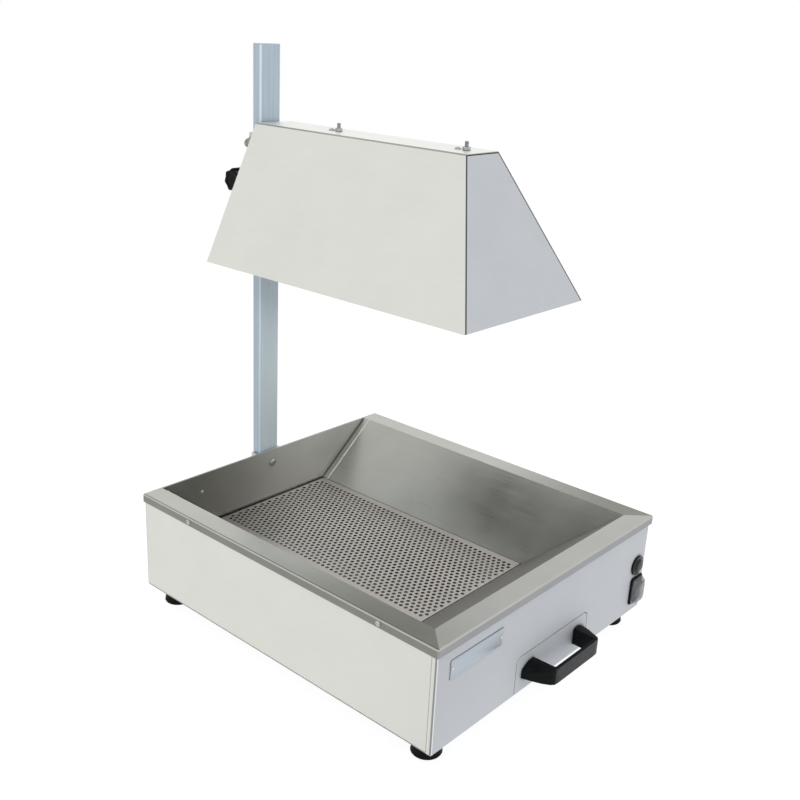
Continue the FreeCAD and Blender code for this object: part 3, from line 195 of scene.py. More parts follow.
# Cable gland
gland_across = 0.022
gland_bore = 0.004
gland_thread_radius = 0.008
gland_nut_height = 0.005
gland_nut_chamfers = (0.0012, 0.0008)
gland_ribs = 12
gland_rib_depth = 0.0004
gland_ribs_start = 0.0005
gland_ribs_inside = 0.0085
gland_cap_radius = 0.0101
gland_cap_profile = [(0.0101, 0), (0.0098, 0.001), (0.0097, 0.0055), (0.0088, 0.0078), (0.0078, 0.0089),
                     (0.0062, 0.009), (0.0046, 0.0083), (0.004, 0.007)]

# Lamp, its guard and the heating element
guard_frame_radius = 0.0013
guard_wire_radius = 0.0010
guard_wire_drop = 0.0002
guard_wires = 11
element_radius = 0.0031
element_bend = 0.014
element_pin_reach = 0.014
element_pin_profile = [(0, 0), (0.0012, 0), (0.0015, 0.0006), (0.0015, 0.0158), (0, 0.0158)]
lamp_neck = 0.018
lamp_shoulder = [(0, -0.001), (0.0038, -0.001), (0.0044, 0), (0.0053, 0.003), (0.0055, 0.006)]
lamp_cap_length = 0.0172
lamp_cap_profile = [(0, 0), (0.0036, 0), (0.004, 0.0005), (0.004, 0.0166), (0.0036, 0.0172), (0, 0.0172)]
filament_inset = 0.004
filament_turns = 60
filament_radius = 0.0021
filament_wire = 0.0003

# Stage
floor_size = 9.0
room_light = 0.6
floor_glow = 1.14
floor_whiteness = 0.8
stage_target = Vector((0.0, 0.0, 0.3))

# Lamps: place, diameter, power in watts and colour
lamps = {"edge_light": ((-2.0, -1.7, 1.9), 0.7, 16.0, "#f6fbff"),
         "top_light": ((0.3, 0.2, 2.6), 1.8, 10.0, "#ffffff")}


# Material helpers
def linear(hex_colour):
    """An sRGB hex value as a linear colour."""
    channels = [int(hex_colour[i:i + 2], 16) / 255 for i in (1, 3, 5)]
    return [c / 12.92 if c <= 0.04045 else ((c + 0.055) / 1.055) ** 2.4 for c in channels] + [1.0]


def add_node(tree, kind, settings=None, inputs=None):
    """Add a node: its properties, then a value or another node's output for each named or numbered socket."""
    node = tree.nodes.new(kind)
    for name, value in (settings or {}).items():
        setattr(node, name, value)
    for name, value in (inputs or {}).items():
        if isinstance(value, bpy.types.NodeSocket):
            tree.links.new(value, node.inputs[name])
        else:
            node.inputs[name].default_value = value
    return node


finishes = {}


def surface(name, build):
    """A finish, kept under its name. Its build function returns the shader's inputs."""
    material = bpy.data.materials.new(name)
    material.use_nodes = True
    tree = material.node_tree
    tree.nodes.clear()
    shader = add_node(tree, "ShaderNodeBsdfPrincipled", inputs=build(tree))
    add_node(tree, "ShaderNodeOutputMaterial", inputs={"Surface": shader.outputs["BSDF"]})
    finishes[name] = material


def pattern(tree, size, detail=3.0, roughness=0.55, spans=()):
    """Noise whose features measure size (x, y, z) in metres on the object, and for each span (low, high) a
    value that follows the noise's middle range from low to high."""
    coordinates = add_node(tree, "ShaderNodeTexCoord")
    scaled = add_node(tree, "ShaderNodeMapping",
                      inputs={"Vector": coordinates.outputs["Object"], "Scale": [1 / s for s in size]})
    noise = add_node(tree, "ShaderNodeTexNoise", inputs={"Vector": scaled.outputs["Vector"], "Scale": 1.0,
                                                         "Detail": detail, "Roughness": roughness})
    values = [noise.outputs["Fac"]]
    for low, high in spans:
        node = add_node(tree, "ShaderNodeMapRange",
                        inputs={"Value": values[0], "From Min": 0.3, "From Max": 0.7,
                                "To Min": low, "To Max": high})
        values.append(node.outputs["Result"])
    return values


def shaded(tree, factor, dark, light, tone=None):
    """A colour between two hex values. A tone (axis, start, end, dark, light) lets it change along the object
    to another pair."""
    pairs = [(dark, light)] + ([tone[3:]] if tone else [])
    colours = [add_node(tree, "ShaderNodeMix", {"data_type": "RGBA"},
                        {0: factor, 6: linear(low), 7: linear(high)}).outputs[2] for low, high in pairs]
    if not tone:
        return colours[0]
    axis, start, end = tone[:3]
    coordinates = add_node(tree, "ShaderNodeTexCoord")
    parts = add_node(tree, "ShaderNodeSeparateXYZ", inputs={0: coordinates.outputs["Object"]})
    place = add_node(tree, "ShaderNodeMapRange", {"interpolation_type": "SMOOTHSTEP"},
                     {"Value": parts.outputs["xyz".index(axis)], "From Min": start, "From Max": end})
    mixed = add_node(tree, "ShaderNodeMix", {"data_type": "RGBA"},
                     {0: place.outputs["Result"], 6: colours[0], 7: colours[1]})
    return mixed.outputs[2]


def brushed_stainless(name, dark, light, grain, roughness, tone=None):
    """Stainless sheet, belt-brushed: fine straight lines along one axis, faint wiping marks, and painted shade
    that darkens its seams and inner corners. The real lines are about 0.1 mm wide and are drawn 0.7 mm wide, so
    that they show."""
    def build(tree):
        size = [line_length if axis == grain else line_width for axis in "xyz"]
        lines, *fine = pattern(tree, size, 4.0, 0.7, ((roughness - 0.05, roughness + 0.05), (0.0, 0.6)))
        _, *broad = pattern(tree, (smudge, smudge, smudge), 2.0, spans=((-0.02, 0.03), (0.0, 0.4)))
        rough, shade = [add_node(tree, "ShaderNodeMath", {"operation": "ADD"}, {0: line, 1: mark}).outputs[0]
                        for line, mark in zip(fine, broad)]
        # Painted shade: the sheet is mixed to dark grey where other surfaces lie close, in its seams and inner
        # corners
        seams = add_node(tree, "ShaderNodeAmbientOcclusion", {"samples": 8}, {"Distance": seam_shade_reach})
        unshaded = add_node(tree, "ShaderNodeMapRange",
                         inputs={"Value": seams.outputs["AO"], "From Min": 0.3, "From Max": 0.9})
        colour = add_node(tree, "ShaderNodeMix", {"data_type": "RGBA"},
                          {0: unshaded.outputs["Result"], 6: linear("#3c3c38"),
                           7: shaded(tree, shade, dark, light, tone)})
        grooves = add_node(tree, "ShaderNodeBump",
                           inputs={"Height": lines, "Distance": 0.00002, "Strength": 0.5})
        return {"Base Color": colour.outputs[2], "Metallic": 1.0, "Roughness": rough,
                "Normal": grooves.outputs["Normal"]}
    surface(name, build)


def moulded_nylon(name, dark, light, gloss):
    """Glass-filled nylon from a spark-eroded mould: black with an even fine grain that greys its highlights.
    The real grain is about 0.1 mm and is drawn 0.9 mm wide, so that it shows."""
    def build(tree):
        grain, rough = pattern(tree, (0.0009, 0.0009, 0.0009), 2.0, spans=((0.4, 0.55),))
        _, shade = pattern(tree, (0.006, 0.006, 0.006), spans=((0.0, 1.0),))
        bumps = add_node(tree, "ShaderNodeBump", inputs={"Height": grain, "Distance": 0.00012})
        return {"Base Color": shaded(tree, shade, dark, light), "IOR": gloss, "Roughness": rough,
                "Normal": bumps.outputs["Normal"]}
    surface(name, build)


def patterned(name, colours, size, rough, detail=3.0, depth=0.0, pits=None, tone=None, shader=None):
    """A finish whose colour and roughness follow one soft pattern. Its relief follows that too, or finer
    pits."""
    def build(tree):
        one_colour = len(colours) == 1
        spans = [rough] if one_colour else [rough, (0.0, 1.0)]
        marks, rough_here, *shade = pattern(tree, size, detail, spans=spans)
        colour = linear(*colours) if one_colour else shaded(tree, *shade, *colours, tone)
        inputs = {"Base Color": colour, "Roughness": rough_here, **(shader or {})}
        if depth:
            height = pattern(tree, pits)[0] if pits else marks
            skin = add_node(tree, "ShaderNodeBump", inputs={"Height": height, "Distance": depth})
            inputs["Normal"] = skin.outputs["Normal"]
        return inputs
    surface(name, build)


# Belt-brushed stainless sheet by its place, in lit and shaded copies of one steel: each side, top, fold and
# seam painted lighter or darker by how light falls on it, and painted reflections making some of it lighter
# towards one end. Columns: darker and lighter tone, axis of its lines and roughness, and for that change: axis,
# from, to, and the tones at the far end.
for name, *look in (
        # Painted light: the side panels painted lighter and the front-facing sheets darker than one steel
        ("lit_side_steel", "#d6d7d0", "#e0e1da", "y", 0.42),
        ("front_steel", "#cfd2d6", "#dbdee2", "x", 0.8),
        ("corner_shade_steel", "#8f9294", "#9b9e9f", "z", 0.5),
        # Painted highlight on the front panel's corner bend
        ("bend_steel", "#dcddd8", "#e9eae5", "y", 0.3),
        # Painted light: the hood's long faces lighter, its top lighter still, its ends and their fittings
        # darker
        ("lit_hood_steel", "#d9dad3", "#e3e5de", "y", 0.42),
        ("lit_hood_top_steel", "#e9eae5", "#f4f5f0", "y", 0.42),
        ("shaded_hood_end_steel", "#bec2c7", "#cbcfd4", "x", 0.42),
        # Painted shade in the hood shell's folds, and a painted shadow for the seams of its front end
        ("fold_shade_steel", "#9b9c96", "#aaaba5", "y", 0.4),
        ("seam_shadow_steel", "#4b4d4b", "#5c5e5c", "x", 0.5),
        # Painted light on the rim: its side skirts painted darker, its front skirt lighter
        ("skirt_steel", "#7d7e77", "#8e8f88", "y", 0.36),
        ("lit_front_skirt_steel", "#95969a", "#a5a6a9", "x", 0.4),
        # Painted reflection: the rim's side land painted lighter towards the rear; its front land painted
        # lighter
        ("land_steel", "#80817a", "#92938c", "y", 0.36, ("y", -0.2, 0.03, "#b4b5ae", "#c5c6bf")),
        ("lit_front_land_steel", "#aeaeaa", "#bdbdb9", "x", 0.4),
        # Painted highlight on the rim's outer bend and painted shade in its crease
        ("rim_bend_highlight_steel", "#b4b5ae", "#c0c1bb", "y", 0.36),
        ("crease_shade_steel", "#6c6d67", "#7b7c75", "y", 0.45),
        ("basin_steel", "#abaca7", "#bcbdb8", "x", 0.42),
        # Painted reflections: the side walls lighter towards the rear, the rear wall near white towards the
        # right; painted shade darkens the front wall
        ("basin_wall_reflection_steel", "#8c8d87", "#9e9f98", "y", 0.32, ("y", -0.24, -0.1, "#a0a19b", "#b2b3ad")),
        ("rear_wall_reflection_steel", "#8a8b86", "#9b9c97", "x", 0.42, ("x", -0.15, 0.1, "#eaebe6", "#f6f7f2")),
        ("basin_front_shade_steel", "#7b7a75", "#8d8b86", "x", 0.42),
        ("plate_steel", "#a6a29c", "#bdb9b4", "y", 0.36)):
    brushed_stainless(name, *look)

# Zinc plating, the bright steel of welds and rivets, and the name plate's edge, a little darker as painted
# shade: silver with a slight cloudiness
for name, dark, light in (("weld_steel", "#c9cac8", "#e6e7e5"), ("zinc_steel", "#9a9c9b", "#c3c5c4"),
                          ("cap_nut_zinc", "#7c7d77", "#a3a49c"), ("plate_edge_shade", "#a2a3ad", "#b0b2bb")):
    patterned(name, (dark, light), (0.003, 0.003, 0.003), (0.26, 0.38), shader={"Metallic": 1.0})

# Pale blue protective film left on a drawn steel tube: soft reflections and faint lengthwise streaks, with a
# painted highlight over the round corners, and the front face painted paler low down as painted light
for name, dark, light, tone in (("post_film", "#b2c3d0", "#c2d1dd", None),
                                ("corner_highlight_film", "#dceefa", "#eef8ff", None),
                                ("lit_lower_film", "#e2f2f8", "#eefafe", ("z", 0.2, 0.5, "#b2c3d0", "#c2d1dd"))):
    patterned(name, (dark, light), (0.0015, 0.0015, 0.12), (0.38, 0.48), 4.0, tone=tone,
              shader={"Metallic": 0.2})

# Zinc-coated steel sheet: dull grey with soft patches a few centimetres wide
patterned("galvanised_steel", ("#8f9496", "#b2b7b9"), (0.02, 0.02, 0.02), (0.38, 0.5), 4.0,
          shader={"Metallic": 1.0})

# Polished aluminium reflector sheet: bright, with faint rolling lines along the lamp
patterned("reflector_aluminium", ("#dfe0e0",), (0.001, 0.08, 0.001), (0.12, 0.2), shader={"Metallic": 1.0})

# Anodised aluminium name plate: pale blue-grey, finely brushed from left to right
patterned("name_plate_aluminium", ("#b1bac4", "#c4cbd3"), (0.03, 0.0005, 0.0005), (0.4, 0.5),
          shader={"Metallic": 0.85})

# Moulded nitrile rubber: near-black and matte, with a fine pitted skin and dusty high spots
patterned("foot_rubber", ("#0b0c0b", "#181916"), (0.008, 0.008, 0.004), (0.55, 0.72), depth=0.00008,
          pits=(0.0006, 0.0006, 0.0006), shader={"IOR": 1.2})

# Moulded nylon: the handle, the faces of its bar turned to the front painted greyer as a painted sheen, and the
# darker switch
moulded_nylon("handle_nylon", "#040506", "#101314", 1.2)
moulded_nylon("front_sheen_nylon", "#171a1d", "#2f3439", 1.33)
moulded_nylon("switch_nylon", "#040506", "#0a0c0e", 1.2)

# Compression-moulded phenolic: smooth and glossy, with a faint swirl left by the moulding
for name, colour, gloss in (("knob_phenolic", "#0a0b0c", 1.36), ("cap_phenolic", "#3f4e48", 1.36),
                            ("clamp_phenolic", "#030304", 1.2)):
    patterned(name, (colour,), (0.005, 0.005, 0.005), (0.16, 0.26), depth=0.00005, shader={"IOR": gloss})

# Soft clear PVC splash cover gone cloudy: greyish, with soft upright streaks from its mould
patterned("cover_pvc", ("#b6b7bb", "#e6e7ea"), (0.002, 0.002, 0.012), (0.14, 0.24), depth=0.0001,
          shader={"IOR": 1.2, "Transmission Weight": 0.82})

# Satin quartz lamp tube: milky white with soft streaks along its length
patterned("lamp_quartz", ("#dcdad4", "#f1efe9"), (0.002, 0.02, 0.002), (0.2, 0.3),
          shader={"IOR": 1.46, "Transmission Weight": 0.6})

# Unglazed steatite ceramic: cream white with a fine dry grain
patterned("holder_ceramic", ("#d6d1c5", "#dfdacf"), (0.0008, 0.0008, 0.0008), (0.6, 0.75),
          depth=0.00005)

# Drawn tungsten filament wire: dark grey with fine draw lines
patterned("lamp_tungsten", ("#676563", "#747270"), (0.0003, 0.004, 0.0003), (0.3, 0.45),
          shader={"Metallic": 1.0})

# Filled enamel index mark: a small glossy spot of colour, a little uneven
patterned("red_enamel", ("#8c4a50",), (0.001, 0.001, 0.001), (0.25, 0.45))

node_finishes = {
    "lit_side_steel": ["left_side_panel", "right_side_panel"],
    "front_steel": ["front_panel", "drawer_front", "rear_panel"],
    "lit_hood_steel": ["hood_shell"],
    "shaded_hood_end_steel": ["hood_front_end", "hood_rear_end", "slide_collar", "post_bracket"],
    "basin_steel": ["basin", "drip_tray", "tray_ends", "tray_floor"],
    "post_film": ["post_cap"],
    "galvanised_steel": ["base_plate", "drawer_runners", "heater_clips", "reflector_hangers"],
    "zinc_steel": ["foot_screws", "foot_nuts", "panel_screws", "handle_screws", "thermostat_nut",
                   "thermostat_spindle", "post_bolts", "post_nuts", "collar_screws", "collar_nuts", "knob_boss",
                   "collar_dome_screw", "clamp_stud", "reflector_studs", "stud_nuts", "hanger_screws",
                   "hanger_nuts", "lamp_guard", "base_heater", "rim_rivets"],
    "reflector_aluminium": ["lamp_reflector"],
    "foot_rubber": ["rubber_feet"],
    "handle_nylon": ["drawer_handle"],
    "switch_nylon": ["switch_housing", "rocker", "thermostat_body", "terminal_block", "cable_gland",
                     "gland_nut"],
    "knob_phenolic": ["thermostat_knob"],
    "cap_phenolic": ["knob_cap"],
    "clamp_phenolic": ["clamp_knob"],
    "cover_pvc": ["switch_boot"],
    "lamp_quartz": ["heat_lamp"],
    "holder_ceramic": ["lamp_holders"],
    "plate_steel": ["perforated_plate"],
}
for finish, nodes in node_finishes.items():
    for node in nodes:
        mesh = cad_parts[node].data
        mesh.materials.clear()
        mesh.materials.append(finishes[finish])


# Mesh helpers
def piece(name, mesh, finish, body, replaced=(), bevel=0.0):
    """Put a bmesh into the scene as a piece that rides on a body. A bevel softens its edges."""
    bmesh.ops.recalc_face_normals(mesh, faces=mesh.faces)
    data = bpy.data.meshes.new(name)
    mesh.to_mesh(data)
    mesh.free()
    data.materials.append(finishes[finish])
    data.polygons.foreach_set("use_smooth", [True] * len(data.polygons))
    data.set_sharp_from_angle(angle=sharp_angle)
    thing = bpy.data.objects.new(name, data)
    bpy.context.scene.collection.objects.link(thing)
    if bevel:
        soften(thing, bevel)
    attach(thing, body)
    if replaced:
        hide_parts(*replaced)
    return thing


def soften(thing, width):
    """Round an object's sharp edges a little."""
    weld = thing.modifiers.new("joined_edges", "WELD")
    weld.merge_threshold = joined_within
    bevel = thing.modifiers.new("softened_edges", "BEVEL")
    bevel.width = width
    bevel.segments = 3
    bevel.limit_method = "ANGLE"
    bevel.angle_limit = sharp_angle
    bevel.harden_normals = True


def add_lofted(mesh, loops, closed=False):
    """A skin over loops of points with equal counts, capped unless it closes on itself. A loop of one point
    closes it to a tip."""
    rings = [[mesh.verts.new(point) for point in loop] for loop in loops]
    count = max(len(ring) for ring in rings)
    pairs = list(zip(rings, rings[1:]))
    if closed:
        pairs.append((rings[-1], rings[0]))
    for low, high in pairs:
        for i in range(count):
            j = (i + 1) % count
            corners = [low[i % len(low)], low[j % len(low)], high[j % len(high)], high[i % len(high)]]
            unique = [v for k, v in enumerate(corners) if v not in corners[:k]]
            if len(unique) > 2:
                mesh.faces.new(unique)
    if not closed:
        for ring in (rings[0][::-1], rings[-1]):
            if len(ring) > 2:
                mesh.faces.new(ring)


def add_turned(mesh, profile, place=Matrix(), sides=48, radius_at=None, closed=False):
    """Turn a profile of (radius, height) points round Z. radius_at may vary the radius by height and
    angle."""
    loops = []
    for radius, height in profile:
        if radius == 0:
            loops.append([place @ Vector((0, 0, height))])
            continue
        loop = []
        for i in range(sides):
            turn = math.tau * i / sides
            r = radius_at(radius, height, turn) if radius_at else radius
            loop.append(place @ Vector((r * math.cos(turn), r * math.sin(turn), height)))
        loops.append(loop)
    add_lofted(mesh, loops, closed)


def add_tube(mesh, points, radius, sides=12, ripple=None):
    """A round bar swept along points, its section carried without twist."""
    across = None
    loops = []
    for i, point in enumerate(points):
        ahead = (points[min(i + 1, len(points) - 1)] - points[max(i - 1, 0)]).normalized()
        if across is None:
            across = ahead.orthogonal().normalized()
        across = (across - ahead * across.dot(ahead)).normalized()
        other = ahead.cross(across)
        r = radius * (1 + (ripple(i) if ripple else 0))
        turns = [math.tau * k / sides for k in range(sides)]
        loops.append([point + across * (r * math.cos(turn)) + other * (r * math.sin(turn)) for turn in turns])
    add_lofted(mesh, loops)


def turned_piece(name, profile, place, sides, finish, body, replaced=(), radius_at=None,
                 closed=False):
    """A piece that is one turned form."""
    mesh = bmesh.new()
    add_turned(mesh, profile, place, sides, radius_at, closed)
    piece(name, mesh, finish, body, replaced)


def standing(place, axis):
    """The placement that stands a piece made up Z on a point, along an axis."""
    turn = Vector((0, 0, 1)).rotation_difference(Vector(axis))
    return Matrix.Translation(place) @ turn.to_matrix().to_4x4()


def rounded_outline(x0, x1, y0, y1, corner, steps=6):
    """A rectangle with rounded corners, as (x, y) points."""
    points = []
    for cx, cy, start in ((x1 - corner, y1 - corner, 0), (x0 + corner, y1 - corner, 1),
                          (x0 + corner, y0 + corner, 2), (x1 - corner, y0 + corner, 3)):
        for k in range(steps + 1):
            turn = math.pi / 2 * (start + k / steps)
            points.append((cx + corner * math.cos(turn), cy + corner * math.sin(turn)))
    return points


def level(outline, z):
    """An (x, y) outline as points on a level plane."""
    return [Vector((x, y, z)) for x, y in outline]


def upright(outline, y):
    """An (x, z) outline as points on a plane that faces the front."""
    return [Vector((x, y, z)) for x, z in outline]


def evaluated_mesh(thing):
    """An object's mesh with its modifiers or its filled curve worked out."""
    bpy.context.view_layer.update()
    evaluated = thing.evaluated_get(bpy.context.evaluated_depsgraph_get())
    mesh = bmesh.new()
    mesh.from_mesh(bpy.data.meshes.new_from_object(evaluated))
    return mesh


def cut_out(mesh, cutter):
    """Cut one bmesh out of another."""
    parts = []
    for source in (mesh, cutter):
        bmesh.ops.recalc_face_normals(source, faces=source.faces)
        data = bpy.data.meshes.new("blank")
        source.to_mesh(data)
        source.free()
        thing = bpy.data.objects.new("blank", data)
        bpy.context.scene.collection.objects.link(thing)
        parts.append(thing)
    modifier = parts[0].modifiers.new("cut", "BOOLEAN")
    modifier.operation = "DIFFERENCE"
    modifier.object = parts[1]
    result = evaluated_mesh(parts[0])
    for thing in parts:
        bpy.data.objects.remove(thing)
    return result


def islands(node):
    """The lowest and highest corner of each separate solid in a CAD node."""
    mesh = bmesh.new()
    mesh.from_mesh(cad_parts[node].data)
    bmesh.ops.remove_doubles(mesh, verts=mesh.verts, dist=0.000001)
    seen = set()
    boxes = []
    for start in mesh.verts:
        if start in seen:
            continue
        stack = [start]
        found = []
        seen.add(start)
        while stack:
            vertex = stack.pop()
            found.append(vertex.co.copy())
            for edge in vertex.link_edges:
                other = edge.other_vert(vertex)
                if other not in seen:
                    seen.add(other)
                    stack.append(other)
        boxes.append((Vector(map(min, *found)), Vector(map(max, *found))))
    mesh.free()
    return boxes


def tip(box, axis):
    """The middle of a box's end face along an axis."""
    low, high = box
    direction = Vector(axis)
    half = (high - low) / 2
    return (low + high) / 2 + Vector([half[i] * direction[i] for i in range(3)])


def longest_axis(box, signs):
    """The axis along which a small fastener lies, pointing to its head."""
    size = box[1] - box[0]
    i = max(range(3), key=lambda k: size[k])
    axis = [0, 0, 0]
    axis[i] = signs[i]
    return axis


# Finishes on some faces of a mesh
def finish_faces(data, finish, keep):
    """Give the faces that a rule keeps another finish."""
    data.materials.append(finishes[finish])
    slot = len(data.materials) - 1
    for polygon in data.polygons:
        if keep(polygon):
            polygon.material_index = slot


def finish_bends(node, finish, keep=lambda polygon: True):
    """Give a sheet's folds their own finish, which paints a highlight or shade on them. A flat face is one
    whose direction has a fair share of the sheet's area."""
    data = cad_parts[node].data
    directions = [tuple(round(n, 1) for n in polygon.normal) for polygon in data.polygons]
    areas = {}
    for polygon, direction in zip(data.polygons, directions):
        areas[direction] = areas.get(direction, 0) + polygon.area
    least = sum(areas.values()) * bend_area_share
    finish_faces(data, finish, lambda polygon: areas[directions[polygon.index]] < least and keep(polygon))


# Fasteners
def hexed(across):
    """Radius by angle of a six-sided bar. Profile points further in than its flats stay round."""
    def radius_at(radius, height, turn):
        flat = across / 2 / math.cos((turn % (math.pi / 3)) - math.pi / 6)
        return min(flat, radius) if radius > across * 0.45 else radius
    return radius_at


def hexed_levels(across, start, end, chamfers=None):
    """A six-sided body's profile between two heights, with its ends chamfered."""
    edge, corner = across * 0.49, across * 0.6
    below, above = chamfers or (across * 0.06, across * 0.06)
    return [(edge, start), (corner, start + below), (corner, end - above), (edge, end)]


def add_cap_nut(mesh, place, across, hex_height, dome_radius, height, washer=(0, 0)):
    """A cap nut: an optional flat washer, a six-sided body and a round dome."""
    washer_radius, washer_height = washer
    top = washer_height + hex_height
    profile = [(0, 0)] + ([(washer_radius, 0), washer] if washer_height else [])
    profile += hexed_levels(across, washer_height, top) + arc_down(dome_radius, top, height)
    body = hexed(across)

    def radius_at(radius, level, turn):
        on_washer = washer_height and level <= washer_height and radius == washer_radius
        return radius if on_washer else body(radius, level, turn)
    add_turned(mesh, profile, place, 48, radius_at)


def arc_down(radius, start, end, steps=6):
    """A quarter ellipse from the rim of a head to its middle."""
    turns = [math.pi / 2 * k / steps for k in range(steps)]
    return [(radius * math.cos(turn), start + (end - start) * math.sin(turn)) for turn in turns] + [(0, end)]


def domed(radius, height):
    """A low round head: a short rim, then an arc to the middle."""
    return [(radius, 0)] + arc_down(radius, height * 0.3, height)


def add_cross(mesh, place, radius, height):
    """The cross that is cut into a round screw head."""
    arm = radius * 0.55
    half = radius * 0.14
    outline = [(arm, -half), (arm, half), (half, half), (half, arm), (-half, arm), (-half, half), (-arm, half),
               (-arm, -half), (-half, -half), (-half, -arm), (half, -arm), (half, -half)]
    add_lofted(mesh, [[place @ Vector((x, y, z)) for x, y in outline] for z in (height * 0.4, height * 1.5)])


def make_screws(name, node, body, signs, head, crossed=True):
    """Round-headed fasteners in the places of a node's solids."""
    radius, height = head
    mesh = bmesh.new()
    crosses = bmesh.new()
    for box in islands(node):
        axis = longest_axis(box, signs(box))
        end = tip(box, axis)
        length = (end - tip(box, [-a for a in axis])).length
        shank = min(radius * 0.55, min(box[1] - box[0]) / 2)
        place = standing(end - Vector(axis) * height, axis)
        add_turned(mesh, [(0, height - length), (shank, height - length), (shank, 0)] + domed(*head), place, 32)
        add_cross(crosses, place, radius, height)
    if crossed:
        mesh = cut_out(mesh, crosses)
    else:
        crosses.free()
    piece(name, mesh, "zinc_steel", body, [node])


def make_nuts(name, node, body, axis, across, bore):
    """Chamfered nuts with a clear bore in the places of a node's solids."""
    mesh = bmesh.new()
    for box in islands(node):
        start = tip(box, [-a for a in axis])
        height = (tip(box, axis) - start).length
        profile = [(bore, 0)] + hexed_levels(across, 0, height) + [(bore, height)]
        add_turned(mesh, profile, standing(start, axis), 48, hexed(across), closed=True)
    piece(name, mesh, "zinc_steel", body, [node])


def threaded(radius, length, thread):
    """A stud's profile with its thread at the far end, and its radius by height and angle."""
    plain = length - thread
    steps = int(thread / thread_pitch * thread_steps)
    heights = [0, plain] + [plain + thread * k / steps for k in range(1, steps + 1)]

    def radius_at(r, height, turn):
        if height <= plain:
            return r
        return r - thread_depth * (0.5 + 0.5 * math.cos(math.tau * height / thread_pitch - turn))
    return [(0, 0)] + [(radius, height) for height in heights] + [(0, length)], radius_at


# Threaded studs that carry the reflector
def make_studs():
    mesh = bmesh.new()
    for low, high in islands("reflector_studs"):
        profile, radius_at = threaded((high.x - low.x) / 2, high.z - low.z, stud_thread_length)
        add_turned(mesh, profile, standing(tip((low, high), (0, 0, -1)), (0, 0, 1)), 24, radius_at)
    piece("threaded_studs", mesh, "zinc_steel", "hood", ["reflector_studs"])


# The screws, rivets, bolts and nuts of the casing, drawer, post and hood
def make_fasteners():
    casing_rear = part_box("rear_panel")[1].y
    make_screws("rim_rivet_heads", "rim_rivets", "base",
                lambda box: (-1 if box[0].x < 0 else 1, 0, 0), rivet_head, False)
    make_screws("foot_screw_heads", "foot_screws", "base", lambda box: (0, 0, -1), large_head)
    make_screws("panel_screw_heads", "panel_screws", "base",
                lambda box: (0, 1, 0) if box[1].y > casing_rear else (0, 0, -1), screw_head)
    make_screws("handle_screw_heads", "handle_screws", "drawer", lambda box: (0, 1, 0), screw_head)
    make_screws("collar_screw_heads", "collar_screws", "hood", lambda box: (0, -1, 0), large_head)
    make_screws("hanger_screw_heads", "hanger_screws", "hood", lambda box: (0, 0, 1), screw_head)
    make_screws("post_bolt_heads", "post_bolts", "base", lambda box: (0, -1, 0), bolt_head, False)
    make_nuts("foot_hex_nuts", "foot_nuts", "base", (0, 0, 1), *large_nut)
    make_nuts("collar_hex_nuts", "collar_nuts", "hood", (0, 1, 0), *large_nut)
    make_nuts("stud_hex_nuts", "stud_nuts", "hood", (0, 0, 1), *large_nut)
    make_nuts("hanger_hex_nuts", "hanger_nuts", "hood", (0, 0, 1), *small_nut)
    mesh = bmesh.new()
    for box in islands("post_nuts"):
        add_cap_nut(mesh, standing(tip(box, (0, -1, 0)), (0, 1, 0)), **post_cap_nut)
    piece("post_cap_nuts", mesh, "zinc_steel", "base", ["post_nuts"])
    low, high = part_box("collar_dome_screw")
    seat = Vector((cap_nut_seat, (low.y + high.y) / 2, (low.z + high.z) / 2))
    mesh = bmesh.new()
    add_cap_nut(mesh, standing(seat, (-1, 0, 0)), height=seat.x - low.x + cap_nut_reach, **collar_cap_nut)
    piece("collar_cap_nut", mesh, "cap_nut_zinc", "hood", ["collar_dome_screw"])


# Perforated plate: a flat sheet with its holes, on a turned-down edge
def make_perforated_plate():
    low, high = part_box("perforated_plate")
    outer = rounded_outline(low.x, high.x, low.y, high.y, plate_corner)
    inner = rounded_outline(low.x + plate_sheet, high.x - plate_sheet, low.y + plate_sheet,
                            high.y - plate_sheet, plate_corner - plate_sheet)
    column_pitch = hole_pitch * math.sqrt(3) / 2
    columns = int(hole_reach_x / column_pitch)
    loops = [outer]
    for column in range(-columns, columns + 1):
        y = low.y + plate_margin + (hole_pitch / 2 if column % 2 else 0)
        while y < high.y - plate_margin:
            loops.append([(column * column_pitch + hole_diameter / 2 * math.cos(math.tau * k / hole_sides),
                           y + hole_diameter / 2 * math.sin(math.tau * k / hole_sides))
                          for k in range(hole_sides)])
            y += hole_pitch
    curve = bpy.data.curves.new("perforated_sheet", "CURVE")
    curve.dimensions = "2D"
    curve.fill_mode = "BOTH"
    curve.extrude = plate_sheet / 2
    for loop in loops:
        spline = curve.splines.new("POLY")
        spline.points.add(len(loop) - 1)
        for point, (x, y) in zip(spline.points, loop):
            point.co = (x, y, 0, 1)
        spline.use_cyclic_u = True
    sheet = bpy.data.objects.new("perforated_sheet", curve)
    bpy.context.scene.collection.objects.link(sheet)
    sheet.location.z = high.z - plate_sheet / 2
    mesh = evaluated_mesh(sheet)
    mesh.transform(sheet.matrix_world)
    bpy.data.objects.remove(sheet)
    under = high.z - plate_sheet
    add_lofted(mesh, [level(outer, under), level(outer, low.z), level(inner, low.z), level(inner, under)],
               closed=True)
    piece("perforated_tray", mesh, "plate_steel", "plate", ["perforated_plate"])


